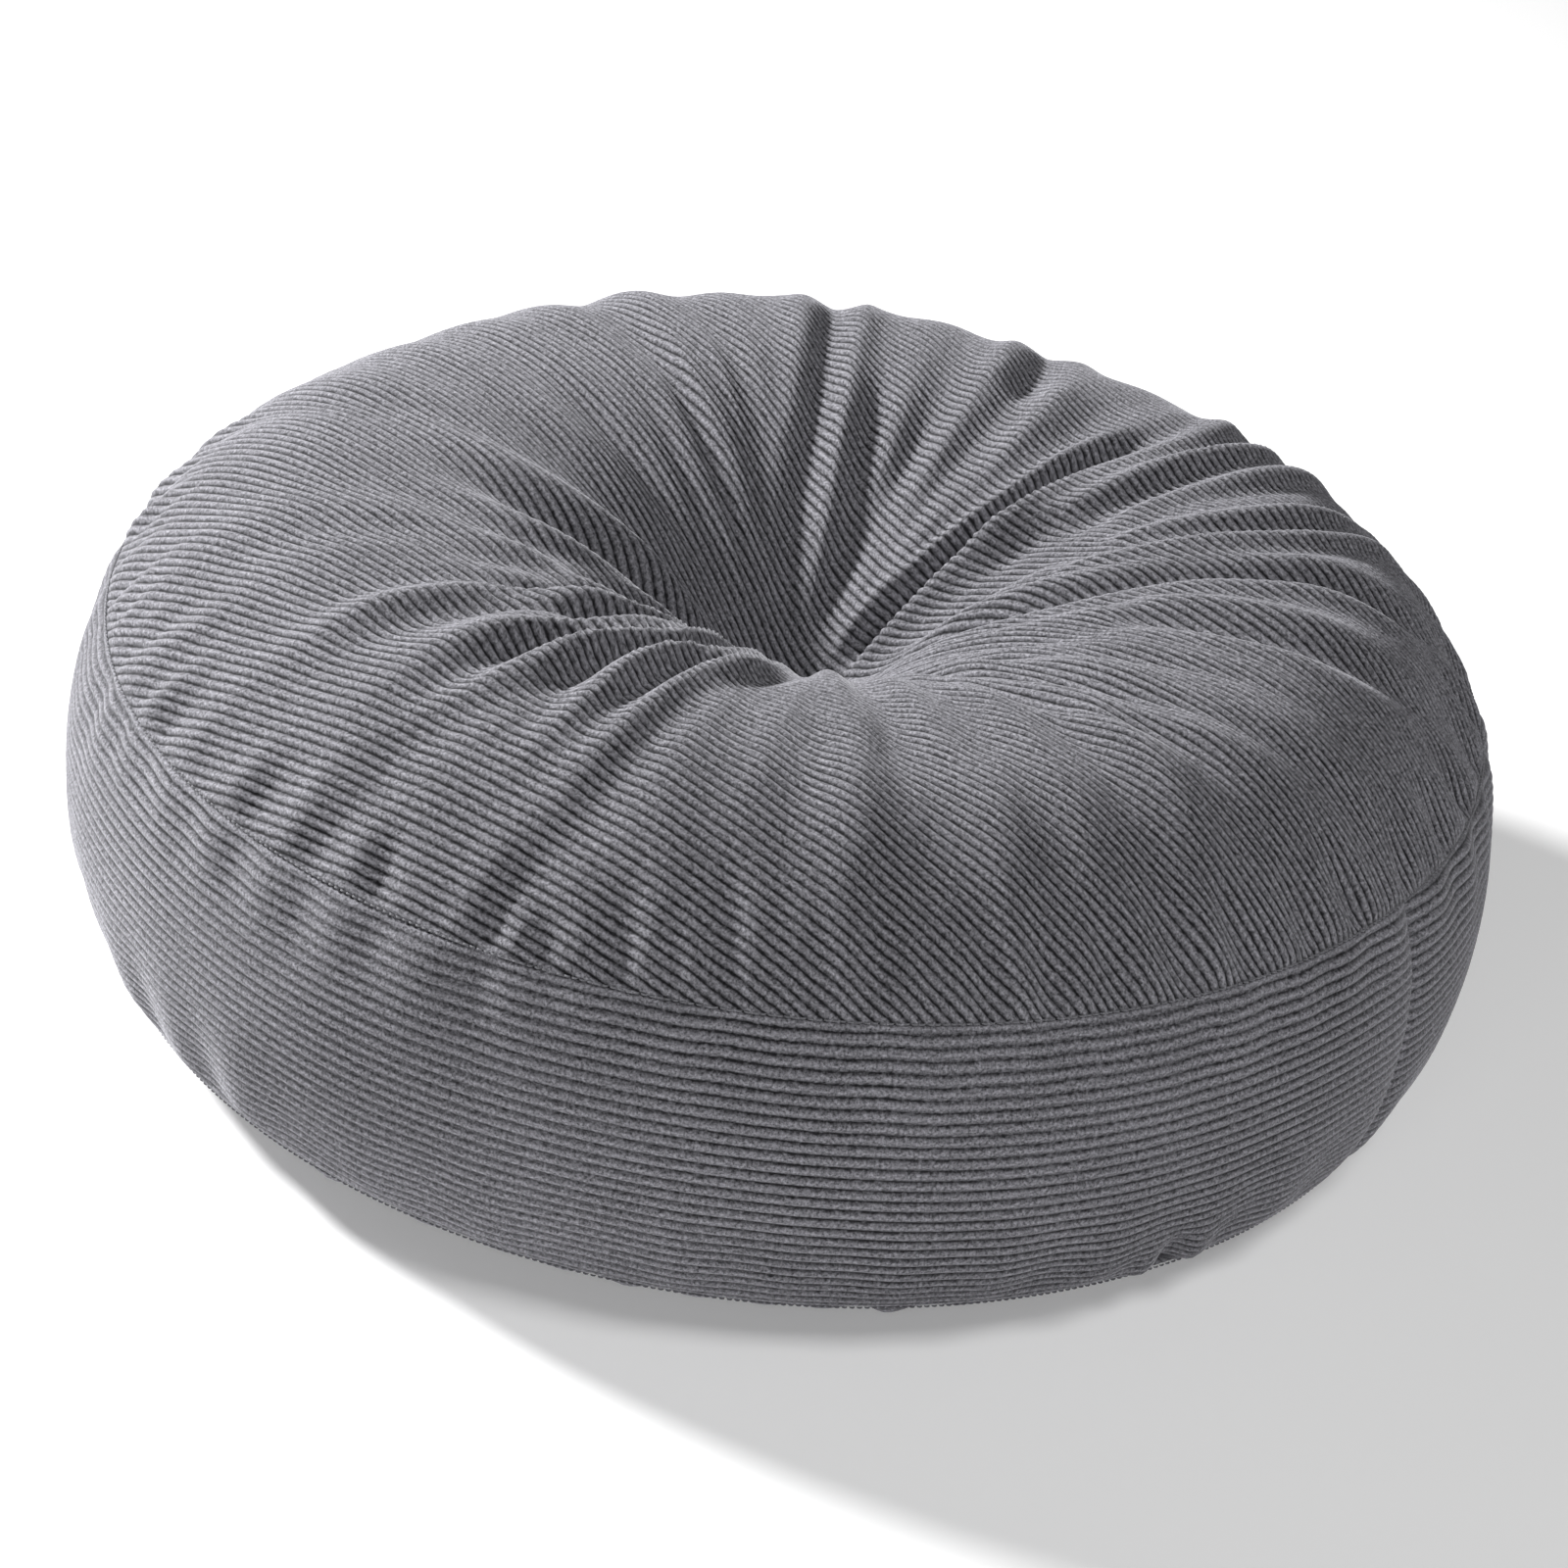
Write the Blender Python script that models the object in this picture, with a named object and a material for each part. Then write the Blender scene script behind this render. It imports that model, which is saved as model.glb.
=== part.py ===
"""Round, button-tufted floor cushion: a corduroy cover of two panels and a side band, a cambric
liner, a fibre filling, and two covered buttons that a loop of twine pulls together.

Metres, +Z up. The origin is the centre of the foot ring, on the floor.
Everything is turned about the Z axis, so most outlines are lists of (radius, height) points.
"""

import math

import bmesh
import bpy
from mathutils import Vector

# The cover's size and shape
OUTER_DIAMETER = 0.550  # across the bulge of the side band
BAND_HEIGHT = 0.124  # from seam to seam
TOP_SEAM_INSET = 0.011  # how far the top seam lies inside the bulge
BOTTOM_SEAM_INSET = 0.018
BOTTOM_SEAM_HEIGHT = 0.020
CROWN_RISE = 0.054  # crown above the top seam
CROWN_INSET = 0.084  # crown inside the top seam
FOOT_INSET = 0.053  # flat foot ring inside the bottom seam
FOOT_INNER_DIAMETER = 0.150
SHOULDER_POWER = 2.1  # roundness from the crown to the seam
BULGE_POWER = 2.2
TOP_PIT_POWER = 2.8  # how suddenly the top falls into the tuft
BOTTOM_PIT_POWER = 2.5
BOTTOM_EDGE_POWER = 2.0

# The tuft: where the twine pulls the two panels together
TUFT_MARGIN = 0.002  # flat floor of each pit, beyond its button all round
BOTTOM_PIT_DEPTH = 0.046
TUFT_THICKNESS = 0.070  # between the panels' outer faces

# Cloth, seams and clearances
CLOTH = 0.0018
LINER = 0.0008
GAP = 0.0004
SEAM_ALLOWANCE = 0.010
SEAM_NOTCH = 0.0015  # groove at a seam, where the thread lies
THREAD_DIAMETER = 0.0008
LINER_CLEARANCE = 0.0010
JOIN_ANGLE = math.radians(-30)  # where the two ends of the side band meet
JOIN_WIDTH = 0.0018

# Covered buttons and twine
BUTTON_DIAMETER = 0.024
BUTTON_HEIGHT = 0.0065
BUTTON_CLOTH = 0.0012
BUTTON_SHELL = 0.0006
BUTTON_PLATE = 0.0008
BUTTON_STANDOFF = 0.0006
DOME_POWER = 2.4
EYE_WIRE = 0.0012
EYE_HALF_WIDTH = 0.0024
EYE_DROP = 0.0046  # the eye below the plate's inner face
EYE_FOOT = 0.0030
TWINE_DIAMETER = 0.0014
KNOT_LENGTH = 0.0050
KNOT_WALL = 0.0008

SEGMENTS = 36
SMALL_SEGMENTS = 20
THREAD_SIDES = 5

# Worked out from the sizes above
OUTER_RADIUS = OUTER_DIAMETER / 2
TOP_SEAM_RADIUS = OUTER_RADIUS - TOP_SEAM_INSET
BOTTOM_SEAM_RADIUS = OUTER_RADIUS - BOTTOM_SEAM_INSET
BAND_BULGE = OUTER_RADIUS - (TOP_SEAM_RADIUS + BOTTOM_SEAM_RADIUS) / 2
TOP_SEAM_HEIGHT = BOTTOM_SEAM_HEIGHT + BAND_HEIGHT
CROWN_RADIUS = TOP_SEAM_RADIUS - CROWN_INSET
CROWN_HEIGHT = TOP_SEAM_HEIGHT + CROWN_RISE
FOOT_OUTER_RADIUS = BOTTOM_SEAM_RADIUS - FOOT_INSET
FOOT_INNER_RADIUS = FOOT_INNER_DIAMETER / 2
TUFT_RADIUS = BUTTON_DIAMETER / 2 + TUFT_MARGIN
TOP_TUFT_HEIGHT = BOTTOM_PIT_DEPTH + TUFT_THICKNESS
TOP_PIT_DEPTH = CROWN_HEIGHT - TOP_TUFT_HEIGHT
TWINE_OFFSET = EYE_WIRE / 2 + GAP + TWINE_DIAMETER / 2  # each strand from the axis
KNOT_INNER_RADIUS = TWINE_OFFSET + TWINE_DIAMETER / 2 + GAP
BORE_RADIUS = max(EYE_HALF_WIDTH + EYE_WIRE / 2, KNOT_INNER_RADIUS + KNOT_WALL) + GAP
LINER_SHOULDER = 4 * SEAM_ALLOWANCE  # the liner cuts the corner here, inside the allowances


# --- Outlines -----------------------------------------------------------------------------------


def top_height(radius):
    """The top face: a crown that falls to the seam outside it and into the pit inside it."""
    if radius >= CROWN_RADIUS:
        share = (radius - CROWN_RADIUS) / (TOP_SEAM_RADIUS - CROWN_RADIUS)
        return CROWN_HEIGHT - CROWN_RISE * share**SHOULDER_POWER
    share = min(1, (CROWN_RADIUS - radius) / (CROWN_RADIUS - TUFT_RADIUS))
    return CROWN_HEIGHT - TOP_PIT_DEPTH * share**TOP_PIT_POWER


def bottom_height(radius):
    """The bottom face: flat on the foot ring, rising to the seam outside it and into the pit."""
    if radius > FOOT_OUTER_RADIUS:
        share = (radius - FOOT_OUTER_RADIUS) / (BOTTOM_SEAM_RADIUS - FOOT_OUTER_RADIUS)
        return BOTTOM_SEAM_HEIGHT * share**BOTTOM_EDGE_POWER
    if radius < FOOT_INNER_RADIUS:
        share = min(1, (FOOT_INNER_RADIUS - radius) / (FOOT_INNER_RADIUS - TUFT_RADIUS))
        return BOTTOM_PIT_DEPTH * share**BOTTOM_PIT_POWER
    return 0.0


def band_radius(height):
    """The side band's outer face, which bulges between its two seams."""
    share = (height - BOTTOM_SEAM_HEIGHT) / BAND_HEIGHT
    chord = BOTTOM_SEAM_RADIUS + share * (TOP_SEAM_RADIUS - BOTTOM_SEAM_RADIUS)
    return chord + BAND_BULGE * (1 - abs(2 * share - 1) ** BULGE_POWER)


def steps(start, end, count):
    return [start + (end - start) * i / count for i in range(count + 1)]


def top_path(outer_radius, pit_steps=6, crown_steps=3):
    """(radius, height) points along the top face, from the bore outwards."""
    pit = [
        TUFT_RADIUS + (CROWN_RADIUS - TUFT_RADIUS) * (i / pit_steps) ** 1.6
        for i in range(pit_steps)
    ]
    radii = [BORE_RADIUS, *pit, *steps(CROWN_RADIUS, outer_radius, crown_steps)]
    return [Vector((r, top_height(r))) for r in radii]


def bottom_path(outer_radius, pit_steps=4, edge_steps=3):
    """(radius, height) points along the bottom face, from the bore outwards."""
    pit = steps(TUFT_RADIUS, FOOT_INNER_RADIUS, pit_steps)
    radii = [BORE_RADIUS, *pit, *steps(FOOT_OUTER_RADIUS, outer_radius, edge_steps)]
    return [Vector((r, bottom_height(r))) for r in radii]


def band_path(low, high, count=6):
    """(radius, height) points up the band's outer face."""
    return [Vector((band_radius(z), z)) for z in steps(low, high, count)]


def turned_left(direction):
    return Vector((-direction.y, direction.x))


def parallel(path, distance):
    """The path moved to its left by distance, with its corners mitred."""
    moved = []
    for i, point in enumerate(path):
        before = (point - path[i - 1]).normalized() if i else None
        after = (path[i + 1] - point).normalized() if i + 1 < len(path) else None
        sides = [turned_left(d) for d in (before, after) if d is not None]
        normal = sum(sides, Vector((0, 0))).normalized()
        moved.append(point + normal * distance / normal.dot(sides[0]))
    return moved


def where_lines_meet(point, along, other_point, other_along):
    """The point where two lines, each given by a point and a direction, cross."""
    across = turned_left(other_along)
    return point + along * (other_point - point).dot(across) / along.dot(across)


def seam_edge(seam, inward, neighbour, inside):
    """How a piece of cloth ends at a seam: points from its outer face, round its turned-in
    allowance, to its inner face. inward runs from the seam along this piece, neighbour along the
    other one, and inside is +1 or -1, the side of inward that this piece's inner face is on."""
    fin = (inward + neighbour).normalized()
    toward = turned_left(fin)
    if toward.dot(inward) < 0:
        toward = -toward
    near, far = toward * (GAP / 2), toward * (GAP / 2 + CLOTH)
    inner_line = seam + turned_left(inward) * inside * CLOTH
    corner = where_lines_meet(seam + far, fin, inner_line, inward)
    return [
        seam + inward * SEAM_NOTCH + near,
        seam + fin * SEAM_NOTCH + near,
        seam + fin * SEAM_ALLOWANCE + near,
        seam + fin * SEAM_ALLOWANCE + far,
        corner,
    ]


def seam_directions():
    """At the top and at the bottom seam: (seam, along the panel, along the band)."""
    found = []
    for seam, panel, band in (
        (
            Vector((TOP_SEAM_RADIUS, TOP_SEAM_HEIGHT)),
            top_path(TOP_SEAM_RADIUS)[-2],
            band_path(BOTTOM_SEAM_HEIGHT, TOP_SEAM_HEIGHT)[-2],
        ),
        (
            Vector((BOTTOM_SEAM_RADIUS, BOTTOM_SEAM_HEIGHT)),
            bottom_path(BOTTOM_SEAM_RADIUS)[-2],
            band_path(BOTTOM_SEAM_HEIGHT, TOP_SEAM_HEIGHT)[1],
        ),
    ):
        found.append((seam, (panel - seam).normalized(), (band - seam).normalized()))
    return found


# --- Making objects -----------------------------------------------------------------------------


def material(name, colour, roughness=0.9, metallic=0.0):
    made = bpy.data.materials.get(name) or bpy.data.materials.new(name)
    made.use_nodes = True
    shader = made.node_tree.nodes["Principled BSDF"]
    shader.inputs["Base Color"].default_value = (*colour, 1.0)
    shader.inputs["Roughness"].default_value = roughness
    shader.inputs["Metallic"].default_value = metallic
    return made


def corduroy():
    return material("corduroy", (0.19, 0.19, 0.205))


def thread():
    return material("thread", (0.16, 0.16, 0.175), roughness=0.7)


def cambric():
    return material("cambric", (0.80, 0.80, 0.78))


def add_object(name, mesh, finish):
    made = bpy.data.objects.new(name, mesh)
    mesh.materials.clear()
    mesh.materials.append(finish)
    bpy.context.scene.collection.objects.link(made)
    return made


def turned(name, outline, finish, segments=SEGMENTS, start=0.0, sweep=2 * math.pi):
    """A closed (radius, height) outline turned about Z. A part turn gets its two ends filled."""
    whole = math.isclose(sweep, 2 * math.pi)
    made = bmesh.new()
    ring = [
        made.verts.new((p.x * math.cos(start), p.x * math.sin(start), p.y)) for p in outline
    ]
    edges = [made.edges.new(pair) for pair in zip(ring, ring[1:] + ring[:1])]
    if not whole:
        made.faces.new(ring)
    spun = bmesh.ops.spin(
        made,
        geom=ring + edges,
        cent=(0, 0, 0),
        axis=(0, 0, 1),
        angle=sweep,
        steps=segments,
        use_merge=whole,
    )
    if not whole:
        last = [e for e in spun["geom_last"] if isinstance(e, bmesh.types.BMEdge)]
        bmesh.ops.contextual_create(made, geom=last)
    bmesh.ops.remove_doubles(made, verts=made.verts, dist=1e-7)
    bmesh.ops.recalc_face_normals(made, faces=made.faces)
    mesh = bpy.data.meshes.new(name)
    made.to_mesh(mesh)
    made.free()
    mesh.shade_smooth()
    mesh.set_sharp_from_angle(angle=math.radians(40))
    return add_object(name, mesh, finish)


def tube(name, points, diameter, finish, closed=False, sides_level=1):
    """A round wire or thread along a list of points."""
    curve = bpy.data.curves.new(name, "CURVE")
    curve.dimensions = "3D"
    curve.bevel_depth = diameter / 2
    curve.bevel_resolution = sides_level
    curve.use_fill_caps = not closed
    spline = curve.splines.new("POLY")
    spline.points.add(len(points) - 1)
    for slot, point in zip(spline.points, points):
        slot.co = (*point, 1.0)
    spline.use_cyclic_u = closed
    return add_object(name, curve, finish)


def ring_thread(name, centre, diameter, finish):
    """A ring of thread whose cross-section is a small polygon round centre (radius, height)."""
    outline = [
        centre
        + Vector((math.cos(angle), math.sin(angle))) * diameter / 2
        for angle in (2 * math.pi * i / THREAD_SIDES for i in range(THREAD_SIDES))
    ]
    return turned(name, outline, finish)


# --- The cover ----------------------------------------------------------------------------------


def panel_outline(path, seam, inward, neighbour, side):
    """A panel's section: its outer face, its seam edge, and its inner face back to the bore."""
    edge = seam_edge(seam, inward, neighbour, side)
    inner = parallel(path, -side * CLOTH)
    clear_of_corner = [p for p in inner[:-1] if p.x < edge[-1].x - SEAM_NOTCH]
    return path[:-1] + edge + clear_of_corner[::-1]


def make_cover():
    (top, top_inward, band_down), (bottom, bottom_inward, band_up) = seam_directions()
    turned(
        "top_panel",
        panel_outline(top_path(TOP_SEAM_RADIUS), top, top_inward, band_down, 1),
        corduroy(),
    )
    turned(
        "bottom_panel",
        panel_outline(bottom_path(BOTTOM_SEAM_RADIUS), bottom, bottom_inward, band_up, -1),
        corduroy(),
    )
    outer = band_path(BOTTOM_SEAM_HEIGHT, TOP_SEAM_HEIGHT)
    inner = parallel(outer, CLOTH)
    low_edge = seam_edge(bottom, band_up, bottom_inward, 1)
    high_edge = seam_edge(top, band_down, top_inward, -1)
    outline = outer[1:-1] + high_edge + inner[1:-1][::-1] + low_edge[::-1]
    half_gap = JOIN_WIDTH / 2 / OUTER_RADIUS
    turned(
        "side_band",
        outline,
        corduroy(),
        start=JOIN_ANGLE + half_gap,
        sweep=2 * math.pi - 2 * half_gap,
    )


def make_threads():
    for name, (seam, inward, along_band) in zip(
        ("top_seam_thread", "bottom_seam_thread"), seam_directions()
    ):
        into_groove = (inward + along_band).normalized()
        depth = SEAM_NOTCH - THREAD_DIAMETER / 2 - GAP
        ring_thread(name, seam + into_groove * depth, THREAD_DIAMETER, thread())
    margin = SEAM_NOTCH + THREAD_DIAMETER
    line = band_path(BOTTOM_SEAM_HEIGHT + margin, TOP_SEAM_HEIGHT - margin)
    tube(
        "band_join_thread",
        [
            (
                (p.x - CLOTH / 2) * math.cos(JOIN_ANGLE),
                (p.x - CLOTH / 2) * math.sin(JOIN_ANGLE),
                p.y,
            )
            for p in line
        ],
        THREAD_DIAMETER,
        thread(),
    )


# --- The liner and the filling ------------------------------------------------------------------


def liner_paths():
    """The liner's outer face in three stretches: top, wall and bottom, each from low to high
    radius or height, clear of the cover and of its turned-in allowances."""
    inset = CLOTH + LINER_CLEARANCE
    low = BOTTOM_SEAM_HEIGHT + LINER_SHOULDER
    high = TOP_SEAM_HEIGHT - LINER_SHOULDER
    wall = parallel(band_path(low, high, 3), inset)
    top = parallel(top_path(TOP_SEAM_RADIUS), -inset)
    top = [p for p in top if p.x <= TOP_SEAM_RADIUS - LINER_SHOULDER]
    bottom = parallel(bottom_path(BOTTOM_SEAM_RADIUS), inset)
    bottom = [p for p in bottom if p.x <= BOTTOM_SEAM_RADIUS - LINER_SHOULDER]
    for path in (top, bottom):
        path[0].x = BORE_RADIUS
    return top, wall, bottom


def liner_outline(path, side):
    inner = parallel(path, side * LINER)
    return path + inner[::-1]


def make_liner():
    top, wall, bottom = liner_paths()
    over, under = Vector((0, GAP + LINER)), Vector((0, -GAP - LINER))
    turned("liner_top", liner_outline([*top, wall[-1] + over], -1), cambric())
    turned("liner_wall", liner_outline(wall, 1), cambric())
    turned("liner_bottom", liner_outline([*bottom, wall[0] + under], 1), cambric())


def make_filling():
    top, wall, bottom = liner_paths()
    inset = LINER + GAP
    outline = parallel([*bottom, *wall, *top[::-1]], inset)
    for end in (0, -1):
        outline[end].x = BORE_RADIUS
    turned("fibre_filling", outline, material("fibre", (0.90, 0.90, 0.89), 1.0))


# --- The tuft: two covered buttons, their eyes and the twine --------------------------------------


def dome(radius, height, base, count=5):
    """A quarter of a superellipse from its rim at base up to its top on the axis."""
    points = []
    for i in range(count + 1):
        angle = math.pi / 2 * i / count
        across = math.cos(angle) ** (2 / DOME_POWER) if i < count else 0.0
        up = math.sin(angle) ** (2 / DOME_POWER) if i else 0.0
        points.append(Vector((radius * across, base + height * up)))
    return points


def place_button(made, height, upside_down):
    made.location.z = height
    made.rotation_euler.x = math.pi if upside_down else 0.0


def make_button(prefix, height, upside_down):
    """One covered button. Its own +Z points out of the cushion, from the panel's face."""
    cover_radius = BUTTON_DIAMETER / 2
    shell_radius = cover_radius - BUTTON_CLOTH - GAP
    plate_radius = shell_radius - BUTTON_SHELL - GAP
    rim = BUTTON_STANDOFF
    cover_inner = dome(
        cover_radius - BUTTON_CLOTH, BUTTON_HEIGHT - BUTTON_CLOTH, rim
    )
    shell_height = BUTTON_HEIGHT - BUTTON_CLOTH - GAP
    shell_inner = dome(
        shell_radius - BUTTON_SHELL, shell_height - BUTTON_SHELL, rim
    )
    plate_hole = EYE_HALF_WIDTH + EYE_WIRE / 2 + GAP
    plate_top = rim + BUTTON_PLATE
    metal = material("button_metal", (0.62, 0.62, 0.63), 0.35, 1.0)
    cover = dome(cover_radius, BUTTON_HEIGHT, rim) + cover_inner[::-1]
    shell = dome(shell_radius, shell_height, rim) + shell_inner[::-1]
    plate = [
        Vector((plate_hole, rim)),
        Vector((plate_radius, rim)),
        Vector((plate_radius, plate_top)),
        Vector((plate_hole, plate_top)),
    ]
    made = [
        turned_cap(prefix + "_button_cover", cover, corduroy()),
        turned_cap(prefix + "_button_shell", shell, metal),
        turned(prefix + "_button_plate", plate, metal, SMALL_SEGMENTS),
        tube(prefix + "_button_eye", eye_path(plate_top), EYE_WIRE, metal),
    ]
    for piece in made:
        place_button(piece, height, upside_down)


def turned_cap(name, outline, finish):
    """A cap that closes on the axis: its outline's axis points become its two poles."""
    made = bmesh.new()
    ring = [made.verts.new((p.x, 0, p.y)) for p in outline]
    edges = [
        made.edges.new(pair)
        for pair in zip(ring, ring[1:] + ring[:1])
        if max(pair[0].co.x, pair[1].co.x) > 1e-9
    ]
    bmesh.ops.spin(
        made,
        geom=ring + edges,
        cent=(0, 0, 0),
        axis=(0, 0, 1),
        angle=2 * math.pi,
        steps=SMALL_SEGMENTS,
        use_merge=True,
    )
    bmesh.ops.remove_doubles(made, verts=made.verts, dist=1e-7)
    bmesh.ops.recalc_face_normals(made, faces=made.faces)
    mesh = bpy.data.meshes.new(name)
    made.to_mesh(mesh)
    made.free()
    mesh.shade_smooth()
    mesh.set_sharp_from_angle(angle=math.radians(40))
    return add_object(name, mesh, finish)


def eye_path(plate_top, bends=6):
    """The eye's wire: a foot on the plate, down through its hole, round, up, and the other foot."""
    foot_height = plate_top + GAP + EYE_WIRE / 2
    bend_height = plate_top - EYE_DROP + EYE_HALF_WIDTH
    half_turn = [math.pi * i / bends for i in range(bends + 1)]
    loop = [
        (0, EYE_HALF_WIDTH * math.cos(a), bend_height - EYE_HALF_WIDTH * math.sin(a))
        for a in half_turn
    ]
    out = EYE_HALF_WIDTH + EYE_FOOT
    return [
        (0, out, foot_height),
        (0, EYE_HALF_WIDTH, foot_height),
        *loop,
        (0, -EYE_HALF_WIDTH, foot_height),
        (0, -out, foot_height),
    ]


def make_twine(bends=6):
    """A closed loop that runs through both eyes, and the knot that binds its two strands."""
    eye_wire_offset = BUTTON_STANDOFF + BUTTON_PLATE - EYE_DROP
    upper_eye = TOP_TUFT_HEIGHT + eye_wire_offset
    lower_eye = BOTTOM_PIT_DEPTH - eye_wire_offset
    half_turn = [math.pi * i / bends for i in range(bends + 1)]
    over = [
        (TWINE_OFFSET * math.cos(a), 0, upper_eye + TWINE_OFFSET * math.sin(a))
        for a in half_turn
    ]
    under = [
        (-TWINE_OFFSET * math.cos(a), 0, lower_eye - TWINE_OFFSET * math.sin(a))
        for a in half_turn
    ]
    finish = material("twine", (0.72, 0.69, 0.62), 0.7)
    tube("tuft_twine", over + under, TWINE_DIAMETER, finish, closed=True)
    middle = (upper_eye + lower_eye) / 2
    outline = [
        Vector((KNOT_INNER_RADIUS + across, middle + up * KNOT_LENGTH / 2))
        for across, up in ((0, -1), (KNOT_WALL, -0.6), (KNOT_WALL, 0.6), (0, 1))
    ]
    turned("twine_knot", outline, finish, 12)


def main():
    for old in list(bpy.data.objects):
        bpy.data.objects.remove(old)
    make_cover()
    make_threads()
    make_liner()
    make_filling()
    make_button("top", TOP_TUFT_HEIGHT, upside_down=False)
    make_button("bottom", BOTTOM_PIT_DEPTH, upside_down=True)
    make_twine()


main()
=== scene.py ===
"""Looks for the round, button-tufted corduroy floor cushion.

The cover is worked out on a grid of rings (from the tuft to the seam) and columns (round the
cushion): a turned shape, with the tuft's radial folds and the seam's gathers laid on it as lines.
A cloth simulation with pressure inside adds the broad swelling, and nothing finer is kept of it.
Each panel is then meshed finely in its own flat cloth coordinates, with its wales as real ridges.
"""

import math

import bpy
import numpy as np
from mathutils import Matrix, Vector


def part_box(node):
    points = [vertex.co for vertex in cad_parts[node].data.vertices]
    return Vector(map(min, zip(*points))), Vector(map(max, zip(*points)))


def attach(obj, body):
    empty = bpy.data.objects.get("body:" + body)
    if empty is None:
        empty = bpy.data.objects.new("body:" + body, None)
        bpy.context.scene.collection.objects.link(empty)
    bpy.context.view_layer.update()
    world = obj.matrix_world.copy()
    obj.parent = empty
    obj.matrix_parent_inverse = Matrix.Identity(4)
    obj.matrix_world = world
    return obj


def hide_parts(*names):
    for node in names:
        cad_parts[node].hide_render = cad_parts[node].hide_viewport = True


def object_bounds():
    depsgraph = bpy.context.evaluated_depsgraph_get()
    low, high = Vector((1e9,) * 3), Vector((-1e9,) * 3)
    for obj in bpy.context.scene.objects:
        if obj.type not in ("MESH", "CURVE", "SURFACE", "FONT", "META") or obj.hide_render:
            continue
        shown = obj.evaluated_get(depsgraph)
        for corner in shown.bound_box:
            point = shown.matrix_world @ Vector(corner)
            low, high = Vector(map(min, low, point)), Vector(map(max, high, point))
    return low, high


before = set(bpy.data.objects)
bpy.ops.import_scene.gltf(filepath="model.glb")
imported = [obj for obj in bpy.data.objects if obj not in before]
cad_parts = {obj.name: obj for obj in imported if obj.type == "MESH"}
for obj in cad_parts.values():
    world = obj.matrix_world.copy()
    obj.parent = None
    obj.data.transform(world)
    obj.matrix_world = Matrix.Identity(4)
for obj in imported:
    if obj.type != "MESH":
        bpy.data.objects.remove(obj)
cad_low, cad_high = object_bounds()

MM = 0.001

# Sizes read from the CAD nodes
OUTER_RADIUS = cad_high.x
TOP_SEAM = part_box("top_seam_thread")
BOTTOM_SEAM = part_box("bottom_seam_thread")
TOP_SEAM_RADIUS = TOP_SEAM[1].x + 0.3 * MM
TOP_SEAM_HEIGHT = (TOP_SEAM[0].z + TOP_SEAM[1].z) / 2
BOTTOM_SEAM_RADIUS = BOTTOM_SEAM[1].x + 0.3 * MM
BOTTOM_SEAM_HEIGHT = (BOTTOM_SEAM[0].z + BOTTOM_SEAM[1].z) / 2
CROWN_HEIGHT = cad_high.z
TOP_TUFT_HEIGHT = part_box("top_button_cover")[0].z - 0.6 * MM
BOTTOM_TUFT_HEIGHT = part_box("bottom_button_cover")[1].z + 0.6 * MM
BUTTON_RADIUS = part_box("top_button_cover")[1].x

# The turned shape between those sizes
CROWN_RADIUS = TOP_SEAM_RADIUS - 84 * MM
TUFT_RADIUS = BUTTON_RADIUS + 2 * MM
BORE_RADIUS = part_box("twine_knot")[1].x + 0.5 * MM
SHOULDER_POWER = 2.1
TOP_PIT_POWER = 2.8
FOOT_OUTER_RADIUS = BOTTOM_SEAM_RADIUS - 53 * MM
FOOT_INNER_RADIUS = 75 * MM
BOTTOM_PIT_POWER = 2.5
BULGE_POWER = 2.2

# The corduroy
WALE_PITCH = 3.7 * MM  # of the top's, bottom's and buttons' cloth, tuned to the photo
WALE_DEPTH = 1.2 * MM
WALE_POWER = 1.7
BAND_PITCH = 4.5 * MM  # of the band's cloth, tuned to the photo
WALE_DIRECTION = math.radians(-37)
WALE_TWIST = math.radians(9)  # how far the top's cloth is drawn round at TWIST_ANGLE
TWIST_ANGLE = math.radians(-75)
SAMPLES_ACROSS = 4  # vertices for each wale
SAMPLE_ALONG = 3.15 * MM  # between vertices along a wale
SLACK = 0.93  # cloth radius over arc length, for the give of the weave
CLOTH = 1.8 * MM
GROOVE_DEPTH = 1.5 * MM  # how deep the cloth turns in at a seam, and how far from it
GROOVE_REACH = 2.0 * MM

# The shares of the flat UV map that a disc and the band fill, next to their inner faces
DISC_SHARE = 0.86
BAND_SHARE_ROUND, BAND_SHARE_UP = 0.99, 0.8

# The grids' columns round the cushion and rings across each panel
COLUMNS = 384
TOP_RINGS = 66
BAND_RINGS = 30
BOTTOM_RINGS = 56

JOIN_ANGLE = math.radians(-30)
CLOSING_ANGLE = math.radians(-52)  # where the bottom seam puckers

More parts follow.
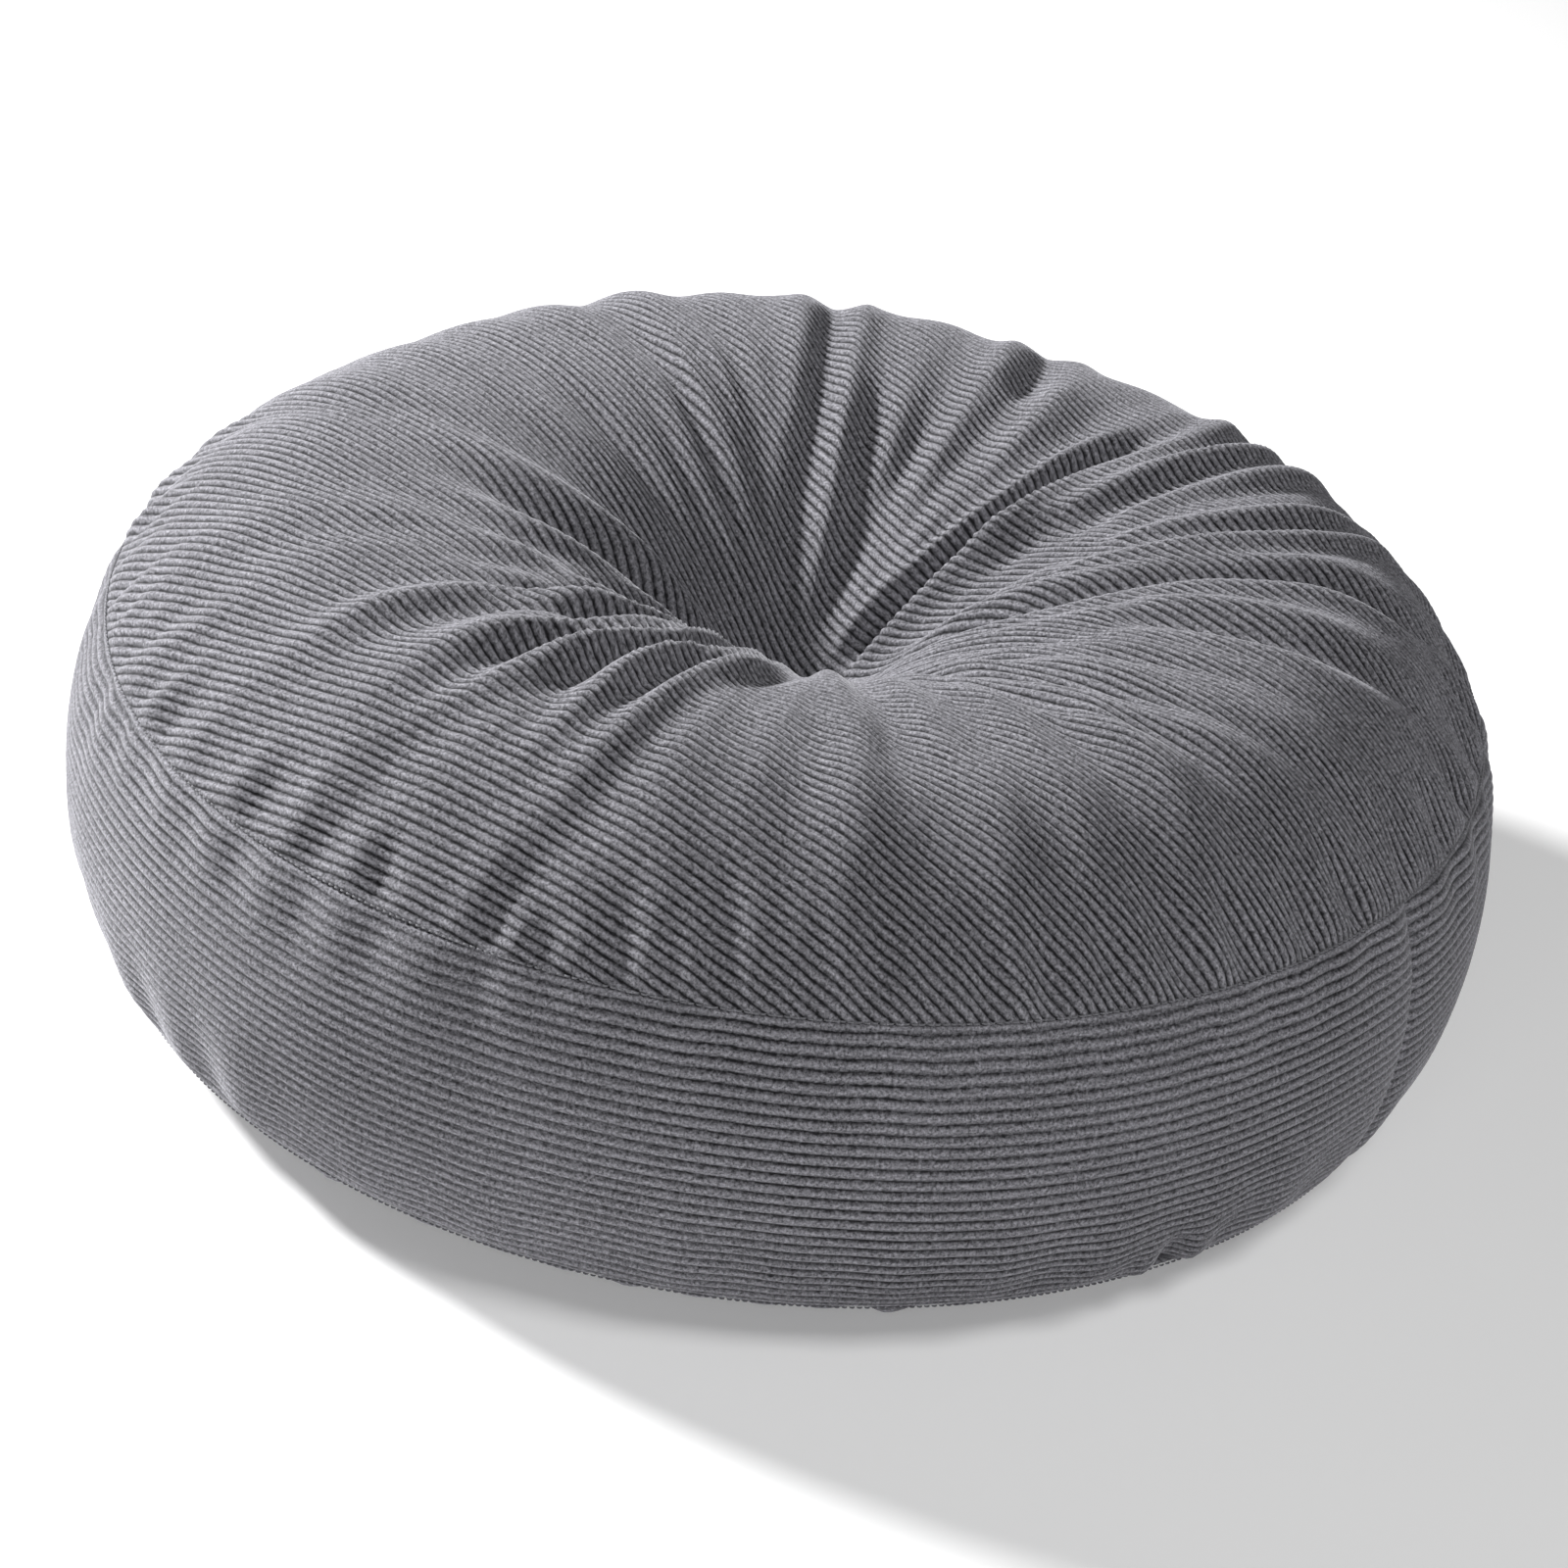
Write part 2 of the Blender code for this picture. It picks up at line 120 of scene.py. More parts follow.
# Folds that run from the tuft over the crown: height (a ridge) or depth (a crease, below 0) and
# width in mm, then the path as (distance from the tuft's axis in mm, angle in degrees)
FOLDS = [
    (5.6, 7, ((22, -120), (100, -124), (113, -130), (141, -140), (175, -142), (240, -144))),
    (5.2, 6.5, ((22, -113), (100, -114), (125, -119), (146, -125), (168, -130), (205, -132))),
    (5.0, 6, ((24, -107), (105, -110), (124, -115), (149, -119.5), (197, -123), (245, -130))),
    (4.8, 6, ((26, -100), (100, -102), (126, -108), (147, -112), (190, -112), (235, -116))),
    (4.6, 6, ((26, -93), (100, -96), (141, -105), (186, -107), (221, -109), (250, -110))),
    (-3.6, 4, ((40, -117), (100, -119.5), (120, -125), (143, -133), (170, -137))),
    (-3.4, 4, ((45, -110.5), (102, -112), (125, -117), (148, -122.5), (180, -127))),
    (-3.2, 4, ((50, -104), (102, -106), (125, -112), (148, -116), (190, -117))),
    (-3.0, 4, ((55, -97), (100, -99.5), (132, -106), (165, -109), (200, -110.5))),
    (1.8, 9, ((75, -84), (100, -86), (150, -91), (200, -93), (245, -95))),
    (1.8, 10, ((75, -74), (110, -77), (150, -80), (182, -82), (225, -82.5), (255, -83))),
    (1.6, 9, ((90, -68), (180, -75), (222, -78), (256, -79))),
    (1.6, 8, ((170, -66), (244, -69), (260, -69))),
    (1.5, 9, ((100, -57), (180, -61), (225, -62), (258, -62))),
    (2.2, 8, ((150, -49), (227, -50.6), (258, -52))),
    (2.8, 9, ((25, -136), (89, -144), (115, -156), (155, -164), (185, -166))),
    (2.6, 9, ((25, -152), (67, -157), (118, -170), (160, -176))),
    (-4.5, 9, ((20, -168), (60, -172), (100, -178), (150, -184))),
    (2.4, 9, ((28, 176), (70, 172), (120, 168), (170, 166))),
    (-2.2, 8, ((28, 164), (80, 158), (150, 154))),
    (-2.2, 9, ((28, 146), (80, 141), (140, 139))),
    (2.4, 5, ((28, 126), (90, 123), (150, 121))),
    (2.8, 5, ((26, 118), (80, 117), (165, 116))),
    (2.4, 5, ((26, 110), (80, 110), (180, 111))),
    (-3.6, 6, ((22, 98), (60, 95), (104, 93), (140, 92), (209, 91), (262, 91))),
    (2.2, 7, ((24, 86), (104, 87.5), (140, 88), (209, 87), (262, 88))),
    (-3.5, 6, ((24, 76), (60, 79), (94, 81), (135, 82))),
    (2.8, 9, ((24, 62), (77, 61), (125, 65.5), (168, 68), (210, 69), (262, 72))),
    (3.6, 9, ((24, 53), (60, 50), (101, 50), (128, 53), (165, 56), (215, 58))),
    (-3.6, 7, ((150, 61), (190, 64), (214, 66), (262, 70))),
    (-11.0, 4.0, ((18, 46), (37, 43), (58, 38), (81, 37), (98, 37.5), (120, 40), (165, 42))),
    (3.0, 10, ((22, 30), (60, 28), (100, 28), (150, 31), (190, 33))),
    (3.8, 6, ((70, 30), (138, 35), (169, 37.5), (197, 39), (225, 44), (262, 50))),
    (3.8, 5, ((100, 26), (150, 30), (203, 33), (230, 38), (262, 44))),
    (3.4, 5, ((120, 20), (160, 24), (197, 27), (225, 31), (262, 36))),
    (3.8, 5, ((110, 10), (173, 14.5), (206, 17.5), (234, 23), (262, 28))),
    (3.8, 5, ((90, 2), (145, 6.7), (183, 9.5), (209, 13), (231, 18), (262, 22))),
    (
        -7.5,
        6,
        ((24, -4), (45, -10), (65, -14), (83, -13), (100, -9), (141, -2), (223, 2), (262, 4)),
    ),
    (3.0, 9, ((28, -32), (80, -28), (117, -20), (143, -14), (190, -12), (214, -8), (255, -4))),
    (-4.5, 7, ((120, -21), (177, -17), (209, -15.7), (229, -13), (262, -10))),
    (-2.6, 6, ((60, -58), (110, -51), (156, -42), (184, -38.6), (232, -33), (262, -31))),
    (-1.6, 5, ((80, -46), (140, -34), (180, -29), (230, -26))),
    (-2.0, 5, ((90, -62), (150, -51), (190, -45), (235, -42))),
]

# Gathers at the top seam: angle in degrees, then depth, width and how far in they run in mm
GATHERS = [
    (-133, 4.0, 8, 50),
    (-127, 5.0, 8, 60),
    (-120, 5.0, 7, 45),
    (-111, 7.0, 8, 74),
    (-106, 5.0, 6, 44),
    (-100, 4.0, 7, 50),
    (-92, 6.0, 7, 66),
    (-86, 3.0, 6, 40),
    (-81, 6.5, 8, 84),
    (-75, 3.0, 6, 40),
    (-72, 5.0, 7, 60),
    (-67, 5.5, 7, 56),
    (-61, 3.0, 6, 36),
    (-55.5, 6.0, 8, 66),
    (-49, 6.0, 8, 62),
    (-43, 3.5, 6, 40),
    (-37, 5.0, 7, 50),
    (-30, 4.5, 7, 44),
    (-22, 5.0, 7, 52),
    (-15, 6.0, 8, 62),
    (-8, 5.0, 7, 50),
    (-1, 6.0, 8, 66),
    (6, 5.0, 7, 54),
    (14, 5.5, 8, 60),
]


def smooth(x):
    """A soft step from 0 to 1."""
    x = np.clip(x, 0, 1)
    return x * x * (3 - 2 * x)


def unit(vectors):
    return vectors / np.linalg.norm(vectors, axis=1, keepdims=True)


def pairs(first, second):
    """Each of the first with each of the second, as two flat arrays."""
    return (m.ravel() for m in np.meshgrid(first, second, indexing="ij"))


def blurred(field):
    """A grid of values, each averaged with its neighbours."""
    padded = np.concatenate([field[:1], field, field[-1:]])
    field = (padded[:-2] + 2 * field + padded[2:]) / 4
    return (np.roll(field, 1, 1) + 2 * field + np.roll(field, -1, 1)) / 4


# --- The turned shape, as rings of (radius, height) ---


def top_height(r):
    out = (r - CROWN_RADIUS) / (TOP_SEAM_RADIUS - CROWN_RADIUS)
    inward = np.clip((CROWN_RADIUS - r) / (CROWN_RADIUS - TUFT_RADIUS), 0, 1)
    rise = CROWN_HEIGHT - TOP_SEAM_HEIGHT
    return np.where(
        r >= CROWN_RADIUS,
        CROWN_HEIGHT - rise * np.clip(out, 0, 1) ** SHOULDER_POWER,
        CROWN_HEIGHT - (CROWN_HEIGHT - TOP_TUFT_HEIGHT) * inward**TOP_PIT_POWER,
    )


def bottom_height(r):
    out = np.clip((r - FOOT_OUTER_RADIUS) / (BOTTOM_SEAM_RADIUS - FOOT_OUTER_RADIUS), 0, 1)
    inward = np.clip((FOOT_INNER_RADIUS - r) / (FOOT_INNER_RADIUS - TUFT_RADIUS), 0, 1)
    return np.where(
        r >= FOOT_INNER_RADIUS,
        BOTTOM_SEAM_HEIGHT * out**2.0,
        BOTTOM_TUFT_HEIGHT * inward**BOTTOM_PIT_POWER,
    )


def even(radius, height, count, dense=0.0):
    """Rings spaced by arc length along a profile, closer at its start if dense is over 0, and
    each ring's arc length."""
    arc = np.concatenate([[0], np.cumsum(np.hypot(np.diff(radius), np.diff(height)))])
    share = np.linspace(0, 1, count)
    want = arc[-1] * (share * (1 - dense) + dense * share**2)
    return np.interp(want, arc, radius), np.interp(want, arc, height), want


def disc_rings(edge, height_at, samples, count, dense):
    """From the twine's hole out to the seam."""
    r = np.linspace(BORE_RADIUS, edge, samples)
    r, z, arc = even(r, height_at(r), count, dense)
    return r, z, arc + BORE_RADIUS


def band_rings():
    """From the bottom seam up to the top seam."""
    z = np.linspace(BOTTOM_SEAM_HEIGHT, TOP_SEAM_HEIGHT, 1000)
    share = (z - BOTTOM_SEAM_HEIGHT) / (TOP_SEAM_HEIGHT - BOTTOM_SEAM_HEIGHT)
    chord = BOTTOM_SEAM_RADIUS + share * (TOP_SEAM_RADIUS - BOTTOM_SEAM_RADIUS)
    bulge = OUTER_RADIUS - (TOP_SEAM_RADIUS + BOTTOM_SEAM_RADIUS) / 2
    r = chord + bulge * (1 - np.abs(2 * share - 1) ** BULGE_POWER)
    return even(r, z, BAND_RINGS)


def full_turn(count):
    """Evenly spaced angles round a circle."""
    return np.arange(count) * 2 * math.pi / count


THETA = full_turn(COLUMNS)


def turned_points(r, angle, z):
    return np.stack([r * np.cos(angle), r * np.sin(angle), z + 0 * angle], -1)


def revolve(r, z):
    return turned_points(r[:, None], THETA, z[:, None])


def profile_normals(r, z):
    """Outward normals of a profile that runs outwards (top) or upwards (band)."""
    dr, dz = np.gradient(r), np.gradient(z)
    length = np.hypot(dr, dz)
    return -dz / length, dr / length


# --- Folds and gathers ---


def wrapped(angle):
    """The same angle between half a turn either way."""
    return (angle + math.pi) % (2 * math.pi) - math.pi


def crease(x):
    """A crease's cross-section: -1 at its floor, with a soft shoulder on each side."""
    floor = -np.exp(-1.2 * np.abs(x) ** 1.5)
    return floor + 0.42 * np.exp(-(((np.abs(x) - 1.9) / 0.85) ** 2))


def softened(r, stops, values):
    """A path's value at each radius, without corners at its stops."""
    near = [np.interp(r + shift, stops, values) for shift in (-12, -6, 0, 6, 12)]
    return sum(near) / len(near)


def waves(count_low, count_high, number, seed):
    """A random function of angle made of whole numbers of waves, about 1 in size."""
    rng = np.random.default_rng(seed)
    counts = rng.integers(count_low, count_high + 1, number)
    phases = rng.uniform(0, 2 * math.pi, number)
    sizes = rng.uniform(0.5, 1, number)
    total = sum(a * np.cos(n * THETA + p) for n, p, a in zip(counts, phases, sizes))
    return total / np.sqrt((sizes**2).sum() / 2)


def more_gathers():
    """The listed gathers, and random ones round the back of the seam, where the list has none."""
    rng = np.random.default_rng(5)
    made = list(GATHERS)
    angle, last = 22.0, 228
    while angle < last:
        made.append((angle, rng.uniform(2.2, 5.5), rng.uniform(6, 9), rng.uniform(30, 70)))
        angle += rng.uniform(5.5, 10.0)
    return made


def top_displacement(r, arc):
    """Height over the turned shape at each ring and column, along its normal."""
    moved = np.zeros((len(r), COLUMNS))
    r_mm = r[:, None] * 1000
    last = arc[-1]
    for height, width, path in FOLDS:
        stops = np.array([p[0] for p in path], float)
        turns = np.radians([p[1] for p in path])
        centre = softened(r_mm, stops, turns)
        across = wrapped(THETA[None, :] - centre) * r_mm
        start, end = stops[0], stops[-1]
        size = smooth((r_mm - start + 6) / 20) * smooth((end + 12 - r_mm) / (0.4 * (end - start)))
        wide = np.minimum(width * (0.8 + 0.3 * r_mm / 180), 0.16 * r_mm + 0.8)
        size = size * np.minimum(1, r_mm / 60) * (1 - 0.35 * smooth((r_mm - 185) / 50))
        moved -= height * MM * size * crease(across / wide)
    edge = (last - arc)[:, None] * 1000
    for angle, depth, width, reach in more_gathers():
        drift = np.radians(angle) + 0.0009 * edge * math.sin(angle * 3.1)
        across = wrapped(THETA[None, :] - drift) * TOP_SEAM_RADIUS * 1000
        size = smooth(edge / 7) * smooth((reach - edge) / (reach * 0.8))
        wide = width * (0.7 + 0.9 * edge / reach)
        moved += 0.5 * depth * MM * size * crease(across / wide)
    fine = smooth(edge / 10) * smooth((60 - edge) / 50)
    moved += 0.55 * MM * fine * waves(48, 110, 24, 3)[None, :]
    crown = smooth((r_mm - 30) / 60) * smooth((edge - 5) / 50)
    moved += 0.7 * MM * crown * waves(14, 40, 14, 8)[None, :]
    lumps = waves(2, 6, 5, 21)[None, :] * smooth((r_mm - 60) / 80) * smooth(edge / 60)
    return moved + 1.3 * MM * lumps


def band_displacement(z, arc):
    """The ripples that the gathers send down the band, and the loose lower edge's waves."""
    down = (arc[-1] - arc)[:, None] * 1000
    up = arc[:, None] * 1000
    moved = np.zeros((len(z), COLUMNS))
    for angle, depth, width, reach in more_gathers():
        across = wrapped(THETA[None, :] - np.radians(angle + 0.6)) * TOP_SEAM_RADIUS * 1000
        size = smooth(down / 6) * smooth((0.75 * reach - down) / (0.6 * reach))
        moved += 0.30 * depth * MM * size * crease(across / (width * 1.25))
    pucker = wrapped(THETA[None, :] - CLOSING_ANGLE) * BOTTOM_SEAM_RADIUS * 1000
    moved += 4.5 * MM * smooth((34 - up) / 26) * crease((pucker + 0.2 * up) / 6)
    moved += 0.9 * MM * smooth(up / 14) * smooth((70 - up) / 60) * waves(18, 46, 16, 31)[None, :]
    return moved + 1.0 * MM * smooth(up / 30) * smooth(down / 30) * waves(3, 9, 7, 41)[None, :]


def bottom_displacement(r, arc):
    """The underside's folds round its tuft and gathers at its rim."""
    r_mm = r[:, None] * 1000
    edge = (arc[-1] - arc)[:, None] * 1000
    tuft = smooth((r_mm - 14) / 16) * smooth((72 - r_mm) / 40)
    moved = 2.4 * MM * tuft * (waves(11, 19, 8, 51)[None, :] - 0.5)
    rim = smooth(edge / 10) * smooth((52 - edge) / 30)
    return moved + 0.9 * MM * rim * (waves(30, 80, 20, 61)[None, :] - 0.8)


def displaced(r, z, moved):
    """The turned shape, moved along its normals."""
    nr, nz = profile_normals(r, z)
    return revolve(r, z) + turned_points(moved * nr[:, None], THETA, moved * nz[:, None])


# --- Cloth simulation ---

CLOTH_FRAMES = 24
CLOTH_BLUR = 14  # passes that leave only the broad swelling, and the folds as they were laid
CLOTH_CAP = 14 * MM
CLOTH_SETTINGS = dict(
    quality=6, mass=0.25, tension_stiffness=12, compression_stiffness=12, shear_stiffness=4,
    bending_stiffness=0.6, tension_damping=12, compression_damping=12, shear_damping=8,
    air_damping=4, use_pressure=True, uniform_pressure_force=40, pin_stiffness=1,
)


def rest_shape(r, arc, extra):
    """Rings whose lengths are those of the cut cloth: each ring's girth is extra times its
    turned one, and the steps between rings stay as they are."""
    girth = r * extra
    step = np.diff(arc)
    drop = np.sqrt(np.maximum(step**2 - np.diff(girth) ** 2, (0.15 * step) ** 2))
    return girth, -np.concatenate([[0], np.cumsum(drop)])


def linked(name, data):
    """A new object in the scene."""
    made = bpy.data.objects.new(name, data)
    bpy.context.scene.collection.objects.link(made)
    return made


def relaxed(shape, rest, held):
    """The grid with the broad swelling of a cloth that has settled under pressure."""
    rings = len(shape)
    mesh = bpy.data.meshes.new("relax")
    index = np.arange(rings * COLUMNS).reshape(rings, COLUMNS)
    turned = np.roll(index, -1, axis=1)
    quads = np.stack([index[:-1], index[1:], turned[1:], turned[:-1]], -1).reshape(-1, 4)
    mesh.from_pydata(shape.reshape(-1, 3).tolist(), [], quads.tolist())
    cloth = linked("relax", mesh)
    cloth.shape_key_add(name="Basis")
    cut = cloth.shape_key_add(name="cut")
    cut.data.foreach_set("co", rest.astype(np.float32).ravel())
    cut.value = 0.0
    pins = cloth.vertex_groups.new(name="pins")
    for weight in np.unique(held.round(2)):
        if weight > 0:
            pins.add(np.flatnonzero(held.round(2).ravel() == weight).tolist(), weight, "REPLACE")
    modifier = cloth.modifiers.new("cloth", "CLOTH")
    settings = modifier.settings
    for setting, value in CLOTH_SETTINGS.items():
        setattr(settings, setting, value)
    settings.vertex_group_mass = "pins"
    settings.rest_shape_key = cut
    settings.effector_weights.gravity = 0
    modifier.collision_settings.use_collision = False
    modifier.point_cache.frame_start = 1
    modifier.point_cache.frame_end = CLOTH_FRAMES
    scene = bpy.context.scene
    for number in range(1, CLOTH_FRAMES + 1):
        scene.frame_set(number)
    found = cloth.evaluated_get(bpy.context.evaluated_depsgraph_get()).to_mesh()
    moved = np.empty(len(found.vertices) * 3, np.float32)
    found.vertices.foreach_get("co", moved)
    bpy.data.objects.remove(cloth)
    scene.frame_set(1)
    change = moved.reshape(shape.shape).astype(float) - shape
    for _ in range(CLOTH_BLUR):
        change = blurred(change)
    size = np.linalg.norm(change, axis=-1, keepdims=True)
    return shape + change * np.minimum(1, CLOTH_CAP / np.maximum(size, 1e-9))


def cover_grids():
    """The top, band and bottom as grids of points, with each ring's arc length."""
    top_r, top_z, top_arc = disc_rings(TOP_SEAM_RADIUS, top_height, 2000, TOP_RINGS, 0.35)
    band_r, band_z, band_arc = band_rings()
    bottom_r, bottom_z, bottom_arc = disc_rings(
        BOTTOM_SEAM_RADIUS, bottom_height, 1500, BOTTOM_RINGS, 0.2
    )
    top = displaced(top_r, top_z, top_displacement(top_r, top_arc))
    # the band's rings run up, so its outward normal is the other way
    band = displaced(band_r, band_z, -band_displacement(band_z, band_arc))
    under = -bottom_displacement(bottom_r, bottom_arc)
    bottom = displaced(bottom_r, bottom_z, under)
    r = np.concatenate([top_r, band_r[::-1][1:]])
    arc = np.concatenate([top_arc, top_arc[-1] + np.cumsum(-np.diff(band_arc[::-1]))])
    shape = np.concatenate([top, band[::-1][1:]])
    edge = np.abs(arc - top_arc[-1])
    extra = 1 + 0.055 * smooth(edge / 0.014) * (arc <= top_arc[-1])
    extra += 0.22 * smooth((0.075 - r) / 0.06) * (arc < 0.15)
    extra += 0.012 * (arc > top_arc[-1]) * smooth(edge / 0.01)
    girth, drop = rest_shape(r, arc, extra)
    rest = revolve(girth, drop)
    held = np.zeros(shape.shape[:2])
    held[r < TUFT_RADIUS] = 1
    held[-2:] = 1
    held[TOP_RINGS - 1] = 0.6
    settled = relaxed(shape, rest, held)
    top = settled[:TOP_RINGS]
    band = settled[TOP_RINGS - 1 :][::-1]
    return (
        (top, top_r, top_z, top_arc),
        (band, band_r, band_z, band_arc),
        (bottom, bottom_r, bottom_z, bottom_arc),
    )


# --- Smooth sampling of a grid ---


def spline_weights(t):
    """A cubic B-spline's four weights and their slopes, a share t of the way to the next point."""
    w = np.stack(
        [(1 - t) ** 3, 3 * t**3 - 6 * t**2 + 4, -3 * t**3 + 3 * t**2 + 3 * t + 1, t**3], -1
    )
    d = np.stack([-((1 - t) ** 2), 3 * t**2 - 4 * t, -3 * t**2 + 2 * t + 1, t**2], -1)
    return w / 6, d / 2


def control_points(grid):
    """The points that pull the spline through the grid, which it would else smooth over."""
    control = grid.copy()
    for _ in range(3):
        padded = np.concatenate(
            [2 * control[:1] - control[1:2], control, 2 * control[-1:] - control[-2:-1]]
        )
        pulled = (padded[:-2] + 4 * control + padded[2:]) / 6
        pulled = (np.roll(pulled, 1, 1) + 4 * pulled + np.roll(pulled, -1, 1)) / 6
        control += grid - pulled
    return control


def sample(grid, ring, column):
    """Points and outward unit normals at fractional ring and column numbers."""
    grid = control_points(grid)
    count = grid.shape[0]
    padded = np.concatenate([[2 * grid[0] - grid[1]], grid, [2 * grid[-1] - grid[-2]]])
    i = np.clip(np.floor(ring).astype(int), 0, count - 2)
    j = np.floor(column).astype(int)
    wi, di = spline_weights(ring - i)
    wj, dj = spline_weights(column - j)
    point = np.zeros((len(ring), 3))
    by_ring = np.zeros((len(ring), 3))
    by_column = np.zeros((len(ring), 3))
    for a in range(4):
        for b in range(4):
            value = padded[i + a, (j + b - 1) % COLUMNS]
            point += (wi[:, a] * wj[:, b])[:, None] * value
            by_ring += (di[:, a] * wj[:, b])[:, None] * value
            by_column += (wi[:, a] * dj[:, b])[:, None] * value
    normal = np.cross(by_ring, by_column)
    normal /= np.maximum(np.linalg.norm(normal, axis=1, keepdims=True), 1e-12)
    return point, normal


def zipped(first, second, places):
    """Triangles between two rows of vertices, by their places along the rows."""
    made = []
    i = j = 0
    while i < len(first) - 1 or j < len(second) - 1:
        if j == len(second) - 1 or (
            i < len(first) - 1 and places[first[i + 1]] <= places[second[j + 1]]
        ):
            made.append((first[i], first[i + 1], second[j]))
            i += 1
        else:
            made.append((first[i], second[j + 1], second[j]))
            j += 1
    return made


def make_piece(name, points, faces, uv, wale, finish, flip=False):
    """A mesh piece from arrays: triangles or quads, a flat UV and a per-vertex wale height."""
    mesh = bpy.data.meshes.new(name)
    faces = [tuple(reversed(f)) for f in faces] if flip else faces
    mesh.from_pydata(points.tolist(), [], faces)
    layer = mesh.uv_layers.new(name="OFBake")
    corner = np.empty(len(mesh.loops), np.int32)
    mesh.loops.foreach_get("vertex_index", corner)
    layer.data.foreach_set("uv", uv[corner].astype(np.float32).ravel())
    if wale is not None:
        attribute = mesh.attributes.new("wale", "FLOAT", "POINT")
        attribute.data.foreach_set("value", wale.astype(np.float32))
    mesh.polygons.foreach_set("use_smooth", np.ones(len(mesh.polygons), bool))
    mesh.materials.append(finish)
    return linked(name, mesh)


def ridge(phase):
    """A wale's height from 0 in its groove to 1 on its crest, by the phase across it."""
    t = np.abs((phase % 1.0) * 2 - 1)
    return 1 - t**WALE_POWER


def seam_groove(points, distance, inward):
    """Draws the cloth in where it turns into the seam."""
    return points + inward * (GROOVE_DEPTH * np.exp(-distance / GROOVE_REACH))[:, None]


def twisted(angle, upper):
    """Where the cloth's angles come to lie: the top's are drawn round towards one side."""
    turned = angle
    for _ in range(8 if upper else 0):
        turned = angle + WALE_TWIST * np.cos(turned - TWIST_ANGLE)
    return turned


def round_panel(name, grid, inside, arc, finish, upper):
    """A disc of corduroy with a small hole for the twine, meshed in rows that follow its wales,
    with a plain inner face sewn to its rim and its hole."""
    cloth_radius = arc * SLACK
    edge = cloth_radius[-1]
    dy = WALE_PITCH / SAMPLES_ACROSS
    rows = int(edge / dy - 0.3)
    hole_rows = round(cloth_radius[0] / dy)
    hole = hole_rows * dy
    places = []
    halves = []
    for n in range(-rows, rows + 1):
        y = n * dy
        half = math.sqrt(edge**2 - y * y)
        lines = int((half - 0.4 * SAMPLE_ALONG) / SAMPLE_ALONG)
        lift = half if abs(n) == rows else None
        near = math.sqrt(hole**2 - y * y) if abs(n) < hole_rows else 0.0
        steps = [k * SAMPLE_ALONG for k in range(1, lines + 1) if k * SAMPLE_ALONG > near + 1 * MM]
        right = [near, *steps, half]
        parts = []
        for side in (-1, 1):
            start = len(places)
            own = right if side > 0 or near else right[1:]
            for x in own[::side]:
                rim_y = math.copysign(math.sqrt(edge**2 - x * x), y)
                places.append((side * x, rim_y if lift else y))
            parts.append(list(range(start, len(places))))
        if not near:
            parts[0].append(parts[1][0])
        halves.append(parts)
    flat = np.array(places)
    along = flat[:, 0].tolist()
    faces = []
    for low, high in zip(halves, halves[1:]):
        for part in (0, 1):
            faces.extend(zipped(low[part], high[part], along))
    flat_radius = np.hypot(flat[:, 0], flat[:, 1])
    radius = np.clip(flat_radius, cloth_radius[0], edge)
    angle = twisted(np.arctan2(flat[:, 1], flat[:, 0]) + WALE_DIRECTION, upper)
    points, normals = placed(grid, cloth_radius, radius, angle, upper)
    height = ridge(flat[:, 1] / WALE_PITCH + 0.5)
    from_seam = (edge - radius) / SLACK
    squeeze = np.clip(np.hypot(points[:, 0], points[:, 1]) / radius, 0.3, 1)
    near_tuft = smooth((radius - 5 * MM) / (20 * MM))
    size = WALE_DEPTH * squeeze * near_tuft * (0.35 + 0.65 * smooth(from_seam / (3 * MM)))
    inward = -turned_points(1, angle, 0.6 if upper else -0.6)
    points = seam_groove(points, from_seam, unit(inward))
    points += normals * ((height - 1) * size)[:, None]

    ring_count, around = 28, 160
    inner_radius = np.linspace(cloth_radius[0] + 0.3 * MM, edge - 0.5 * MM, ring_count)
    inner_angle = -math.pi + full_turn(around)
    rr, aa = pairs(inner_radius, inner_angle)
    inner = placed(inside, cloth_radius, rr, twisted(aa + WALE_DIRECTION, upper), upper)[0]
    index = len(points) + np.arange(ring_count * around).reshape(ring_count, around)
    faces += grid_faces(index)
    flat_angle = np.arctan2(flat[:, 1], flat[:, 0])
    for loop, row, back in (
        (flat_radius > edge - 1e-7, index[-1], True),
        (flat_radius < hole + 1e-7, index[0], False),
    ):
        loop = np.flatnonzero(loop)
        loop = loop[np.argsort(flat_angle[loop])]
        faces += sewn(loop, flat_angle[loop], row, inner_angle, back)
    scale = DISC_SHARE / (2 * edge)
    small = np.stack([rr * np.cos(aa), rr * np.sin(aa)], -1) * 0.10 / (2 * edge)
    uv = np.concatenate([0.44 + flat * scale, 0.94 + small])
    wale = np.concatenate([height, np.full(len(inner), 0.5)])
    return make_piece(
        name, np.concatenate([points, inner]), faces, uv, wale, finish, flip=not upper
    )


def placed(grid, along, distance, angle, outward):
    """Points and normals of a grid at distances along its rings and angles round it."""
    ring = np.interp(distance, along, np.arange(len(along)))
    column = (angle % (2 * math.pi)) / (2 * math.pi) * COLUMNS
    points, normals = sample(grid, ring, column)
    return points, normals if outward else -normals


